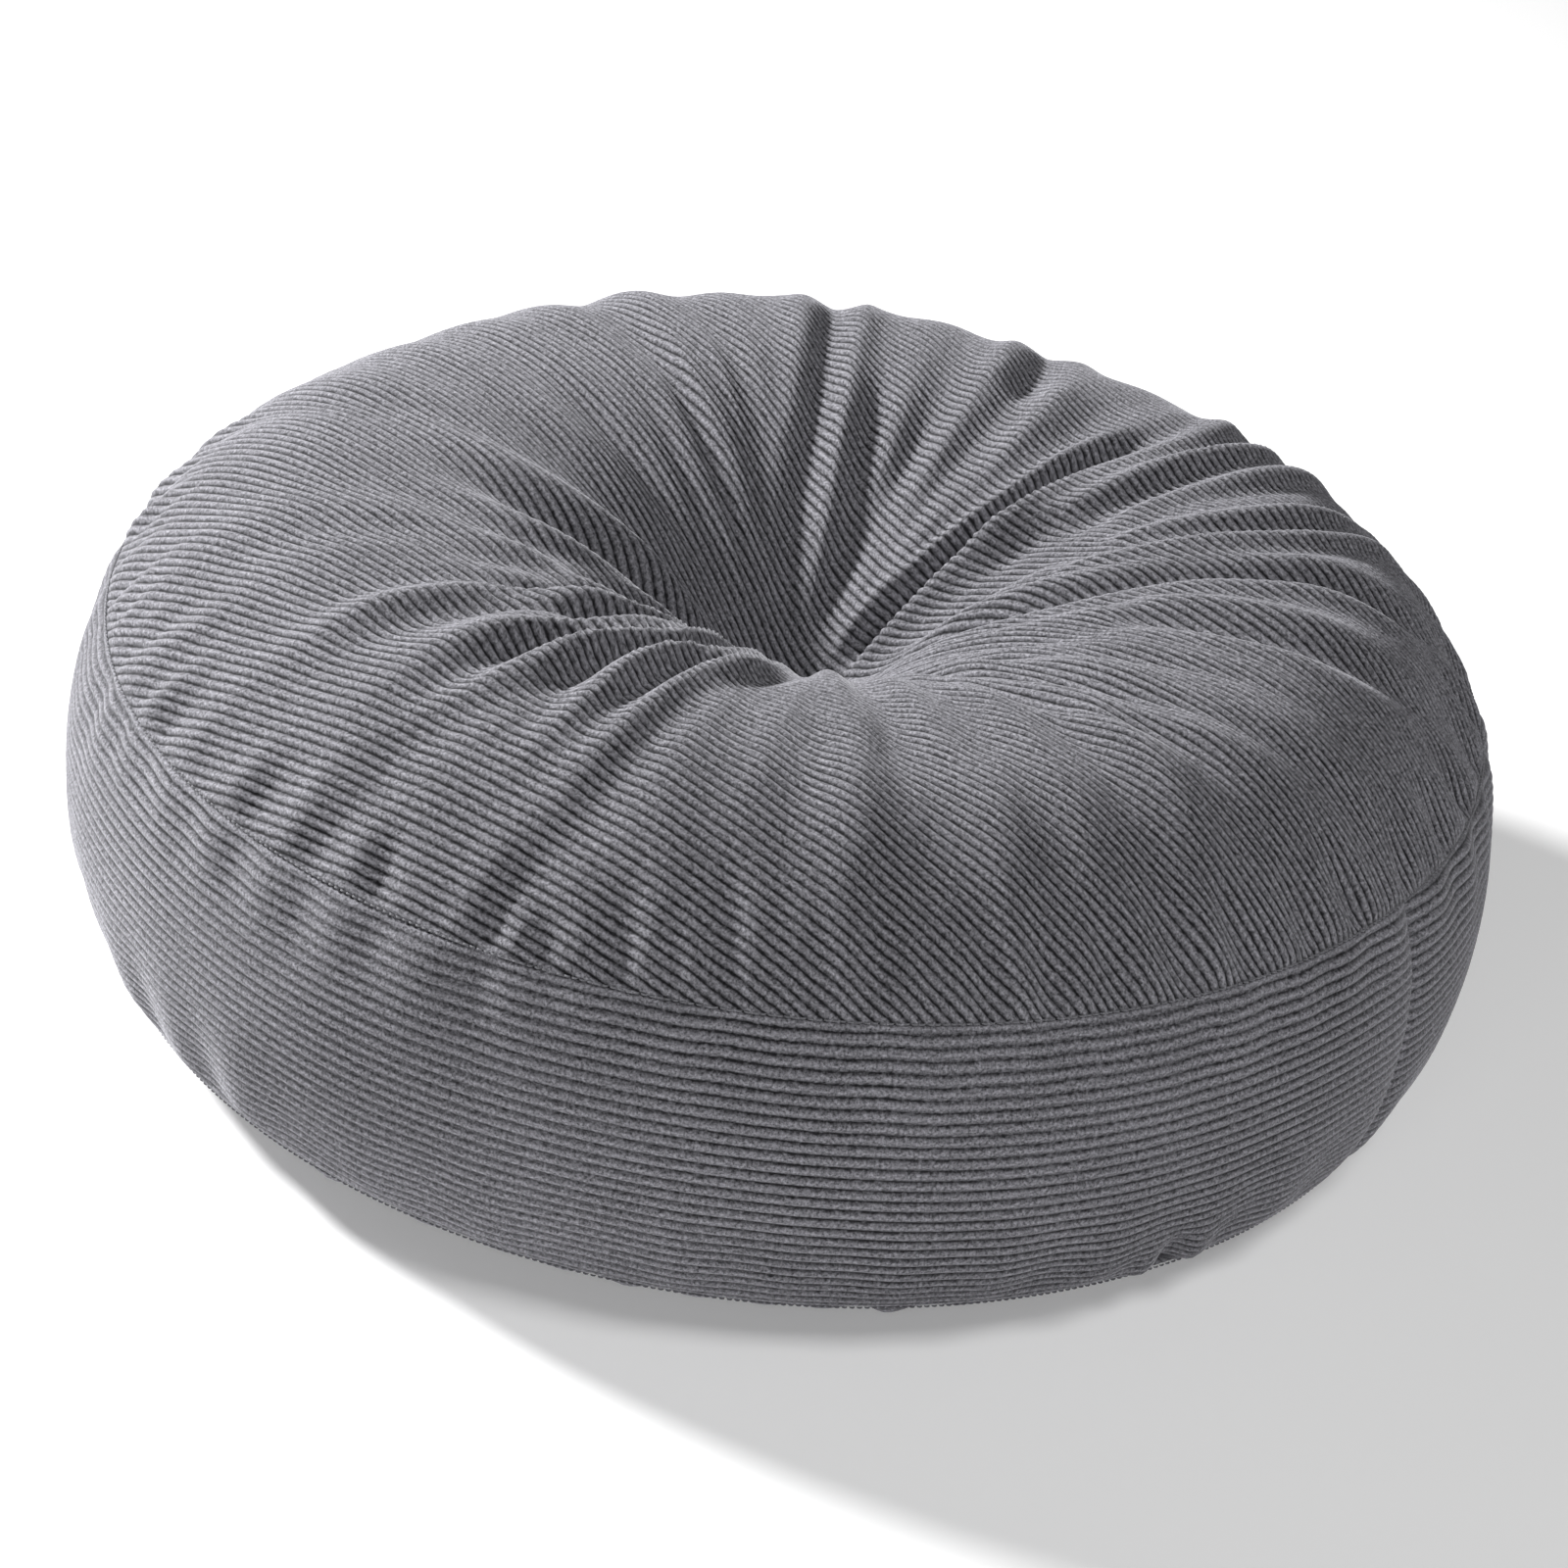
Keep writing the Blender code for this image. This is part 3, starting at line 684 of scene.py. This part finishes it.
def sewn(outer, outer_angle, inner, inner_angle, back):
    """Triangles between two closed loops of vertices, by their angles."""
    last = max(int(outer.max()), int(inner.max())) + 1
    place = dict(zip(outer.tolist(), outer_angle.tolist()))
    place.update(zip(inner.tolist(), inner_angle.tolist()))
    place[last], place[last + 1] = outer_angle[0] + 2 * math.pi, inner_angle[0] + 2 * math.pi
    real = {last: int(outer[0]), last + 1: int(inner[0])}
    made = []
    for face in zipped([*outer.tolist(), last], [*inner.tolist(), last + 1], place):
        face = tuple(real.get(v, v) for v in face)
        made.append(face[::-1] if back else face)
    return made


def band_piece(name, grid, arc, finish):
    """The side band: its wales run round, and shift where its two ends are joined."""
    length = arc[-1]
    dy = BAND_PITCH / SAMPLES_ACROSS
    count = int(round(length / dy))
    across = np.linspace(0, length, count + 1)
    around = int(2 * math.pi * OUTER_RADIUS / SAMPLE_ALONG)
    angle = JOIN_ANGLE + (np.arange(around) + 0.5) / around * 2 * math.pi
    near = 1.6 * MM / OUTER_RADIUS
    after = [JOIN_ANGLE, JOIN_ANGLE + near, JOIN_ANGLE + 2.2 * near]
    before = [JOIN_ANGLE + 2 * math.pi - 2.2 * near, JOIN_ANGLE + 2 * math.pi - near]
    angle = np.concatenate([after, angle[2:-2], before])
    around = len(angle)
    vv, aa = pairs(across, angle)
    points, normals = placed(grid, arc, vv, aa, False)
    turn = (aa - JOIN_ANGLE) / (2 * math.pi)
    shift = 1.7 * MM * turn + 0.5 * MM * np.sin(turn * 6 * math.pi)
    height = ridge((vv + shift) / BAND_PITCH)
    size = WALE_DEPTH * (0.35 + 0.65 * smooth(np.minimum(vv, length - vv) / (3 * MM)))
    for distance, up in ((length - vv, 0.6), (vv, -0.6)):
        points = seam_groove(points, distance, unit(-turned_points(1, aa, up)))
    to_join = np.abs(wrapped(aa - JOIN_ANGLE)) * OUTER_RADIUS
    draw = 2.0 * MM * np.exp(-to_join / (1.6 * MM)) + 1.2 * MM * np.exp(-((to_join / 0.009) ** 2))
    size *= smooth(to_join / (2.5 * MM))
    points += normals * ((height - 1) * size - draw)[:, None]
    index = np.arange(len(vv)).reshape(len(across), around)
    faces = grid_faces(index)
    inner_across = np.linspace(0.6 * MM, length - 0.6 * MM, 12)
    inner_angle = JOIN_ANGLE + full_turn(120)
    iv, ia = pairs(inner_across, inner_angle)
    inner, inner_normals = placed(grid, arc, iv, ia, False)
    inner = inner - inner_normals * (CLOTH + WALE_DEPTH + 1.5 * MM)
    inside = len(points) + np.arange(len(iv)).reshape(len(inner_across), -1)
    faces += [f[::-1] for f in grid_faces(inside)]
    faces += sewn(index[0], angle, inside[0], inner_angle, True)
    faces += sewn(index[-1], angle, inside[-1], inner_angle, False)
    inner_turn = (ia - JOIN_ANGLE) / (2 * math.pi)
    uv = np.concatenate(
        [
            np.stack([turn * BAND_SHARE_ROUND, vv / length * BAND_SHARE_UP], -1),
            np.stack([inner_turn * BAND_SHARE_ROUND, 0.84 + iv / length * 0.14], -1),
        ]
    )
    wale = np.concatenate([height, np.full(len(inner), 0.5)])
    return make_piece(name, np.concatenate([points, inner]), faces, uv, wale, finish)


def grid_faces(index):
    """Quads between rows of vertices that each close on themselves."""
    turned = np.roll(index, -1, axis=1)
    quads = np.stack([index[:-1], turned[:-1], turned[1:], index[1:]], -1).reshape(-1, 4)
    return [tuple(q) for q in quads.tolist()]


# --- Inside: the liner, the filling, the stitches, the buttons and the twine ---

LINER = 0.8 * MM
LINER_DEPTH = CLOTH + WALE_DEPTH + 1.2 * MM
SHOULDER = 40 * MM  # how far from the seams the liner cuts the corner
COARSE = 3  # every third column of the cover's grid


def lowest_nearby(field, reach):
    """The least value within reach of each place, softened, which stays below the field."""
    low = field.copy()
    for _ in range(reach):
        padded = np.concatenate([low[:1], low, low[-1:]])
        low = np.minimum(low, np.minimum(padded[:-2], padded[2:]))
        low = np.minimum(low, np.minimum(np.roll(low, 1, 1), np.roll(low, -1, 1)))
    for _ in range(reach):
        low = blurred(low)
    return low


def inner_side(grid, r, z, outward, depth, ceiling=math.inf):
    """A smooth surface that stays at least depth inside the cover's grid."""
    nr, nz = profile_normals(r, z)
    change = grid - revolve(r, z)
    radial = change[..., 0] * np.cos(THETA) + change[..., 1] * np.sin(THETA)
    height = (radial * nr[:, None] + change[..., 2] * nz[:, None]) * outward
    low = lowest_nearby(np.minimum(height, ceiling), 4) - depth
    return displaced(r, z, low * outward)


def lining(grid, r, z, outward, depth):
    """The liner's side of the cover, which the cover's ridges stand clear of."""
    return inner_side(grid, r, z, outward, depth, 0)[:, ::COARSE]


def torus(name, rows, finish):
    """A closed body from loops of points, each joined to the next and the last to the first."""
    points = np.stack(rows)
    index = np.arange(points[..., 0].size).reshape(points.shape[:2])
    index = np.concatenate([index, index[:1]])
    share = np.linspace(0, 0.98, len(rows))[:, None] + np.zeros(points.shape[1])
    turn = np.linspace(0, 0.98, points.shape[1])[None, :] + np.zeros((len(rows), 1))
    uv = np.stack([turn.ravel(), share.ravel()], -1)
    return make_piece(name, points.reshape(-1, 3), grid_faces(index), uv, None, finish)


def bored(rows, radius):
    """Moves the first loop out to the bore's radius, keeping its height."""
    first = rows[0].copy()
    size = np.hypot(first[:, 0], first[:, 1])[:, None]
    first[:, :2] *= radius / size
    return np.concatenate([[first], rows[1:]])


def soft_insides(grids, cambric, fibre):
    """The liner's three pieces and the filling, following the cover from inside."""
    made = {}
    (top, top_r, top_z, top_arc), (band, band_r, band_z, band_arc), (under, r, z, arc) = grids
    keep_top = top_arc < top_arc[-1] - SHOULDER
    keep_under = arc < arc[-1] - SHOULDER
    from_top = band_arc[-1] - band_arc
    keep_band = (band_arc > 0.9 * SHOULDER) & (from_top > 0.9 * SHOULDER)
    layers = []
    for depth in (LINER_DEPTH, LINER_DEPTH + LINER, LINER_DEPTH + LINER + 0.7 * MM):
        layers.append(
            (
                bored(lining(top, top_r, top_z, 1, depth)[keep_top], BORE_RADIUS),
                lining(band, band_r, band_z, -1, depth)[keep_band],
                bored(lining(under, r, z, -1, depth)[keep_under], BORE_RADIUS),
            )
        )
    (t0, w0, b0), (t1, w1, b1), (t2, w2, b2) = layers
    rise = np.array([0, 0, 1.2 * MM])
    top_rows = [*t0, w0[-1] + rise, w1[-1] + rise, *t1[::-1]]
    made["liner_top"] = torus("liner_top_cloth", top_rows[::-1], cambric)
    made["liner_wall"] = torus("liner_wall_cloth", [*w0, *w1[::-1]], cambric)
    low_rows = [*b0, w0[0] - rise, w1[0] - rise, *b1[::-1]]
    made["liner_bottom"] = torus("liner_bottom_cloth", low_rows, cambric)
    made["fibre_filling"] = torus("fibre_fill", [*b2, *w2, *t2[::-1]], fibre)
    return made


def capsules(name, starts, ends, out, radius, finish):
    """Many small rounded stitches, each from a start to an end and bowed outwards."""
    sides, along = 6, np.array([0.0, 0.12, 0.5, 0.88, 1.0])
    girth = np.array([0.35, 0.9, 1.0, 0.9, 0.35])
    sink = np.array([0.9, 0.35, 0.0, 0.35, 0.9])
    step = ends - starts
    direction = unit(step)
    out = unit(out - direction * (out * direction).sum(1, keepdims=True))
    across = np.cross(direction, out)
    angle = full_turn(sides)
    spokes = np.cos(angle)[:, None] * across[:, None] + np.sin(angle)[:, None] * out[:, None]
    centres = starts[:, None] + step[:, None] * along[:, None]
    centres -= out[:, None] * sink[:, None] * radius * 1.5
    tubes = centres[:, :, None] + radius * girth[:, None, None] * spokes[:, None]
    faces = []
    for tube in np.arange(tubes[..., 0].size).reshape(tubes.shape[:3]):
        faces += [*grid_faces(tube), tube[0, ::-1].tolist(), tube[-1].tolist()]
    points = tubes.reshape(-1, 3)
    span = points.max(0) - points.min(0)
    uv = ((points - points.min(0)) / span)[:, :2] * 0.98
    return make_piece(name, points, faces, uv, None, finish)


STITCH = 2.7 * MM  # from one stitch to the next
STITCH_SHARE = 0.74  # of that step, the rest being the gap
STITCH_RADIUS = 0.38 * MM


def stitches_round(name, line, finish, inset):
    """Stitches along a closed seam line of points, sunk towards the cushion's middle."""
    closed = np.concatenate([line, line[:1]])
    arc = np.concatenate([[0], np.cumsum(np.linalg.norm(np.diff(closed, axis=0), axis=1))])
    count = round(arc[-1] / STITCH)
    places = np.arange(count) * arc[-1] / count
    stitch = arc[-1] / count * STITCH_SHARE

    def at(where):
        where = where % arc[-1]
        return np.stack([np.interp(where, arc, closed[:, i]) for i in range(3)], -1)

    starts, ends = at(places), at(places + stitch)
    out = unit((starts + ends) / 2 * np.array([1, 1, 0]))
    return capsules(name, starts - out * inset, ends - out * inset, out, STITCH_RADIUS, finish)


def join_stitches(band, arc, finish):
    """Stitches up the band's join, sunk into its crease."""
    places = np.arange(6 * MM, arc[-1] - 6 * MM, STITCH)
    angle = np.full(len(places), JOIN_ANGLE)
    starts, normals = placed(band, arc, places, angle, False)
    ends, _ = placed(band, arc, places + STITCH_SHARE * STITCH, angle, False)
    drop = normals * 3.4 * MM
    return capsules("join_stitches", starts - drop, ends - drop, normals, STITCH_RADIUS, finish)


BUTTON_CLOTH = 1.0 * MM
BUTTON_WALE_DEPTH = 0.55 * MM
BUTTON_WALE_ANGLE = 0.4  # of its wales in plan, in radians
DOME_POWER = 2 / 2.5


def covered_button(name, node, upper, finish):
    """A domed button in corduroy, hollow like the CAD one, from its node's own size."""
    low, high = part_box(node)
    radius = high.x
    rim, crown = (low.z, high.z) if upper else (high.z, low.z)
    side = 1 if upper else -1
    rise = abs(crown - rim)
    around, rings = 96, 22
    angle = full_turn(around)
    tilt = np.linspace(0, math.pi / 2, rings)

    def wale_height(x, y):
        across = x * math.sin(BUTTON_WALE_ANGLE) + y * math.cos(BUTTON_WALE_ANGLE)
        return ridge(across / WALE_PITCH)

    def dome(reach, rise, depth):
        made = []
        for t in tilt[:-1]:
            r = reach * math.cos(t) ** DOME_POWER
            h = rise * math.sin(t) ** DOME_POWER
            x, y = r * np.cos(angle), r * np.sin(angle)
            sink = depth * (1 - wale_height(x, y)) * smooth(h / (1.5 * MM))
            shrink = 1 - sink * math.cos(t) / max(r, 0.1 * MM)
            z = rim + side * (h - sink * math.sin(t))
            made.append(np.stack([x * shrink, y * shrink, z], -1))
        return made

    outside = dome(radius, rise, BUTTON_WALE_DEPTH)
    inside = dome(radius - BUTTON_CLOTH, rise - BUTTON_CLOTH, 0)
    rows = [*inside[::-1], *outside]
    points = np.concatenate(rows)
    index = np.arange(len(points)).reshape(len(rows), around)
    faces = grid_faces(index)
    inner_pole, outer_pole = len(points), len(points) + 1
    poles = [
        [0, 0, rim + side * (rise - BUTTON_CLOTH)],
        [0, 0, crown - side * BUTTON_WALE_DEPTH],
    ]
    points = np.concatenate([points, poles])
    turned = np.roll(index, -1, axis=1)
    faces += [(inner_pole, int(b), int(a)) for a, b in zip(index[0], turned[0])]
    faces += [(int(a), int(b), outer_pole) for a, b in zip(index[-1], turned[-1])]
    uv = 0.5 + points[:, :2] / (2 * radius) * 0.96
    wale = wale_height(points[:, 0], points[:, 1])
    return make_piece(name, points, faces, uv, wale, finish, flip=not upper)


def twisted_twine(finish):
    """Two-ply twine in a loop through both eyes."""
    low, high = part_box("tuft_twine")
    radius = (high.y - low.y) / 2
    offset = high.x - radius
    upper, lower = high.z - radius - offset, low.z + radius + offset
    straight = np.linspace(lower, upper, 90)[:-1]
    bend = np.linspace(0, math.pi, 13)[:-1]
    line = [(offset, 0, z) for z in straight]
    line += [(offset * math.cos(a), 0, upper + offset * math.sin(a)) for a in bend]
    line += [(-offset, 0, z) for z in (upper + lower) - straight]
    line += [(-offset * math.cos(a), 0, lower - offset * math.sin(a)) for a in bend]
    line = np.array(line)
    ahead = unit(np.roll(line, -1, 0) - np.roll(line, 1, 0))
    across = np.array([0.0, 1.0, 0.0])
    travelled = np.cumsum(np.linalg.norm(np.diff(line, axis=0, append=line[:1]), axis=1))
    turns = round(travelled[-1] / (3 * MM))
    stations = []
    angle = full_turn(12)
    for place, direction, gone in zip(line, ahead, travelled):
        up = np.cross(direction, across)
        twist = gone / travelled[-1] * turns * 2 * math.pi
        size = radius * (0.80 + 0.20 * np.abs(np.cos(angle - twist)))
        stations.append(
            place
            + size[:, None] * (np.cos(angle)[:, None] * across + np.sin(angle)[:, None] * up)
        )
    return torus("twine_loop", stations, finish)


def knot_binding(finish):
    """Turns of twine wound round the two strands."""
    low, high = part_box("twine_knot")
    outer = high.x
    inner = outer - 0.8 * MM
    angle = full_turn(48)
    rows = []
    for z in np.linspace(low.z, high.z, 33):
        wound = 0.5 + 0.5 * np.cos((z - low.z) / (1.0 * MM) * 2 * math.pi + angle)
        r = outer - 0.25 * MM * (1 - wound)
        rows.append(turned_points(r, angle, z))
    for z in (high.z, low.z):
        rows.append(turned_points(inner, angle, z))
    return torus("knot_binding", rows, finish)


# --- Materials ---


class Nodes:
    """Short calls for building one material's node tree."""

    def __init__(self, name, colour, roughness):
        self.material = bpy.data.materials.new(name)
        self.material.use_nodes = True
        self.tree = self.material.node_tree
        self.shader = self.tree.nodes["Principled BSDF"]
        self.look(Base_Color=(*colour, 1), Roughness=roughness)

    def add(self, kind, **inputs):
        node = self.tree.nodes.new(kind)
        for key, value in inputs.items():
            if key in ("attribute_name", "uv_map"):
                setattr(node, key, value)
            else:
                self.put(node.inputs[key], value)
        return node

    def look(self, **inputs):
        for key, value in inputs.items():
            self.put(self.shader.inputs[key.replace("_", " ")], value)

    def put(self, socket, value):
        if isinstance(value, bpy.types.NodeSocket):
            self.tree.links.new(value, socket)
        elif isinstance(value, bpy.types.Node):
            self.tree.links.new(value.outputs[0], socket)
        else:
            socket.default_value = value

    def math(self, operation, a, b=None):
        node = self.tree.nodes.new("ShaderNodeMath")
        node.operation = operation
        self.put(node.inputs[0], a)
        if b is not None:
            self.put(node.inputs[1], b)
        return node.outputs[0]

    def noise(self, vector, scale, detail=2.0, rough=0.5):
        node = self.add("ShaderNodeTexNoise", Scale=scale, Detail=detail, Roughness=rough)
        self.put(node.inputs["Vector"], vector)
        return node.outputs["Fac"]

    def scaled(self, vector, x, y, z=1.0):
        node = self.tree.nodes.new("ShaderNodeMapping")
        self.put(node.inputs["Vector"], vector)
        node.inputs["Scale"].default_value = (x, y, z)
        return node.outputs["Vector"]

    def span(self, value, low, high, to_low, to_high):
        node = self.tree.nodes.new("ShaderNodeMapRange")
        for socket, given in zip(node.inputs, (value, low, high, to_low, to_high)):
            self.put(socket, given)
        return node.outputs["Result"]

    def mix(self, share, a, b, blend="MIX"):
        node = self.tree.nodes.new("ShaderNodeMix")
        node.data_type = "RGBA"
        node.blend_type = blend
        self.put(node.inputs[0], share)
        self.put(node.inputs[6], a)
        self.put(node.inputs[7], b)
        return node.outputs[2]

    def bump(self, height, strength, distance):
        node = self.add("ShaderNodeBump", Strength=strength, Distance=distance)
        self.put(node.inputs["Height"], height)
        self.look(Normal=node.outputs["Normal"])


# The cloth's own colour on its wales, and a near-black painted shade for the floor of the grooves
# between them
RIDGE_COLOUR = (0.214, 0.211, 0.231, 1)
GROOVE_SHADE_COLOUR = (0.012, 0.0117, 0.0135, 1)


def corduroy(name, u_metres, v_metres):
    """Corduroy with painted shade in the grooves between its wales, darkest at each groove's
    floor. The UV map times the two sizes is metres.
    """
    n = Nodes(name, RIDGE_COLOUR[:3], 0.92)
    uv = n.add("ShaderNodeUVMap", uv_map="OFBake").outputs["UV"]
    cloth = n.scaled(uv, u_metres, v_metres)
    wale = n.add("ShaderNodeAttribute", attribute_name="wale").outputs["Fac"]
    fuzz = n.noise(cloth, 900, 2.5, 0.7)
    strands = n.noise(n.scaled(cloth, 0.55, 1.0), 700, 2.0, 0.6)
    mottle = n.noise(cloth, 26, 4.0, 0.6)
    ragged = n.math("MULTIPLY", n.math("SUBTRACT", strands, 0.5), 1.3)
    # painted shade in the grooves: the lower the wale height, the more of the groove shade colour
    crest = n.span(n.math("ADD", wale, ragged), 0.08, 1.0, 0.0, 1.0)
    colour = n.mix(crest, GROOVE_SHADE_COLOUR, RIDGE_COLOUR)
    patches = n.span(mottle, 0.3, 0.7, -0.10, 0.10)
    light = n.math("ADD", n.span(fuzz, 0.3, 0.7, 0.22, 1.82), patches)
    grey = n.tree.nodes.new("ShaderNodeCombineColor")
    for i in range(3):
        n.put(grey.inputs[i], light)
    colour = n.mix(1.0, colour, grey.outputs[0], "MULTIPLY")
    n.look(Base_Color=colour, Specular_IOR_Level=0.15)
    n.look(Sheen_Weight=0.35, Sheen_Roughness=0.45, Sheen_Tint=(0.82, 0.82, 0.86, 1))
    height = n.math("ADD", n.math("MULTIPLY", fuzz, 0.6), n.math("MULTIPLY", strands, 0.8))
    n.bump(height, 0.55, 0.0006)
    return n.material


def woven(name, colour, thread, roughness=0.85):
    """A plain weave or fibre finish, from a colour and the thread's thickness in mm."""
    n = Nodes(name, colour, roughness)
    place = n.add("ShaderNodeTexCoord").outputs["Object"]
    fine = n.noise(place, 700 / thread, 3.0, 0.6)
    broad = n.noise(place, 40, 3.0, 0.5)
    patches = n.span(broad, 0.3, 0.7, 0.92, 1.06)
    shade = n.math("MULTIPLY", n.span(fine, 0.3, 0.7, 0.75, 1.2), patches)
    dark = tuple(c * 0.6 for c in colour) + (1,)
    light = tuple(min(1, c * 1.2) for c in colour) + (1,)
    n.look(Base_Color=n.mix(n.span(shade, 0.6, 1.25, 0, 1), dark, light), Sheen_Weight=0.2)
    n.bump(fine, 0.5, 0.0004)
    return n.material


def metal(name):
    """Pressed steel with faint turning marks and dull patches."""
    n = Nodes(name, (0.62, 0.62, 0.63), 0.38)
    place = n.add("ShaderNodeTexCoord").outputs["Object"]
    rub = n.noise(n.scaled(place, 1, 1, 8), 900, 2.0)
    dull = n.noise(place, 160, 3.0)
    n.look(Metallic=1.0, Roughness=n.span(dull, 0.3, 0.7, 0.30, 0.52))
    worn, bright = (0.55, 0.55, 0.55, 1), (0.68, 0.68, 0.70, 1)
    n.look(Base_Color=n.mix(n.span(dull, 0.35, 0.65, 0, 1), worn, bright))
    n.bump(rub, 0.15, 0.0002)
    return n.material


# --- Build ---


def put(piece, slot, *nodes):
    """Fixes a finished piece to the body, in the place of its CAD nodes."""
    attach(piece, "root")
    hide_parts(*nodes)
    return piece


def main():
    grids = cover_grids()
    (top, _, _, top_arc), (band, _, _, band_arc), (bottom, _, _, bottom_arc) = grids
    top_inside = inner_side(*grids[0][:3], 1, CLOTH + WALE_DEPTH)
    bottom_inside = inner_side(*grids[2][:3], -1, CLOTH + WALE_DEPTH)
    top_size = 2 * top_arc[-1] * SLACK / DISC_SHARE
    bottom_size = 2 * bottom_arc[-1] * SLACK / DISC_SHARE
    band_size = 2 * math.pi * OUTER_RADIUS / BAND_SHARE_ROUND, band_arc[-1] / BAND_SHARE_UP
    top_cloth = corduroy("corduroy_top", top_size, top_size)
    bottom_cloth = corduroy("corduroy_bottom", bottom_size, bottom_size)
    band_cloth = corduroy("corduroy_band", *band_size)
    button_cloth = corduroy("corduroy_button", 2 * BUTTON_RADIUS, 2 * BUTTON_RADIUS)
    thread = woven("sewing_thread", (0.155, 0.155, 0.170), 0.4)
    cambric = woven("cambric_cloth", (0.80, 0.80, 0.78), 0.6)
    fibre = woven("blown_fibre", (0.90, 0.90, 0.89), 1.6)
    twine = woven("waxed_twine", (0.72, 0.69, 0.62), 0.3, 0.6)
    covers = {
        "top_panel": round_panel("top_cover", top, top_inside, top_arc, top_cloth, True),
        "side_band": band_piece("band_cover", band, band_arc, band_cloth),
        "bottom_panel": round_panel(
            "bottom_cover", bottom, bottom_inside, bottom_arc, bottom_cloth, False
        ),
    }
    for side in ("top", "bottom"):
        node = f"{side}_button_cover"
        covers[node] = covered_button(f"{side}_button_cloth", node, side == "top", button_cloth)
    for node, piece in covers.items():
        put(piece, "corduroy", node)
    insides = soft_insides(grids, cambric, fibre)
    for node, piece in insides.items():
        put(piece, "fibre" if node == "fibre_filling" else "cambric", node)
    sewing = {
        "top_seam_thread": stitches_round("top_stitches", top[-1], thread, 0.9 * MM),
        "bottom_seam_thread": stitches_round("bottom_stitches", bottom[-1], thread, 0.9 * MM),
        "band_join_thread": join_stitches(band, band_arc, thread),
    }
    for node, piece in sewing.items():
        put(piece, "thread", node)
    put(twisted_twine(twine), "twine", "tuft_twine")
    put(knot_binding(twine), "twine", "twine_knot")
    steel = metal("pressed_steel")
    for side in ("top", "bottom"):
        for part in ("shell", "plate", "eye"):
            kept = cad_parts[f"{side}_button_{part}"]
            kept.data.materials.clear()
            kept.data.materials.append(steel)
    make_stage()
    make_camera()


# Lamps as (name, place in m, diameter in m, power in W), all aimed at the cushion
LAMPS = (
    ("key", (-1.95, 0.75, 1.4), 0.4, 122),
    ("overhead", (0.9, -1.1, 2.1), 0.8, 21),
    ("fill", (-0.2, -2.5, 1.1), 1.6, 11),
)
LAMPS_AIM = Vector((0, 0, 0.1))


def make_stage():
    """A plain pale floor, a dim white world and the lamps."""
    bpy.ops.mesh.primitive_plane_add(size=30, location=(0, 0, -0.6 * MM))
    floor = bpy.context.object
    floor.name = "floor"
    paint = Nodes("floor_paint", (0.88, 0.88, 0.88), 0.7)
    paint.look(Emission_Color=(1, 1, 1, 1), Emission_Strength=0.22)
    floor.data.materials.append(paint.material)
    world = bpy.context.scene.world or bpy.data.worlds.new("studio")
    bpy.context.scene.world = world
    world.use_nodes = True
    back = world.node_tree.nodes["Background"]
    back.inputs["Color"].default_value = (1, 1, 1, 1)
    back.inputs["Strength"].default_value = 0.07
    for name, place, size, power in LAMPS:
        light = bpy.data.lights.new(name, "AREA")
        light.shape = "DISK"
        light.size = size
        light.energy = power
        lamp = linked(name, light)
        lamp.location = place
        aim = LAMPS_AIM - Vector(place)
        lamp.rotation_mode = "QUATERNION"
        lamp.rotation_quaternion = aim.to_track_quat("-Z", "Y")
    bpy.context.scene.view_settings.view_transform = "Standard"


# The photo's view, as found by fitting the cushion's outline
CAMERA_TILT, CAMERA_ROLL = math.radians(29.8), math.radians(7.4)
CAMERA_DISTANCE = 6.39 * OUTER_RADIUS
CAMERA_SHIFT = 0.7 * MM
LENS, SENSOR = 103.4, 36


def make_camera():
    tilt, roll = CAMERA_TILT, CAMERA_ROLL
    back = Vector((0, -math.cos(tilt), math.sin(tilt)))
    level = Vector((1, 0, 0))
    up = Vector((0, math.sin(tilt), math.cos(tilt)))
    right = math.cos(roll) * level + math.sin(roll) * up
    above = math.cos(roll) * up - math.sin(roll) * level
    lens = bpy.data.cameras.new("camera")
    lens.lens = LENS
    lens.sensor_width = SENSOR
    camera = linked("camera", lens)
    middle = Vector((0, 0, (TOP_SEAM_HEIGHT + BOTTOM_SEAM_HEIGHT) / 2))
    place = middle + back * CAMERA_DISTANCE + right * CAMERA_SHIFT - above * CAMERA_SHIFT
    axes = Matrix((right, above, back)).transposed()
    camera.matrix_world = Matrix.Translation(place) @ axes.to_4x4()
    bpy.context.scene.camera = camera


main()
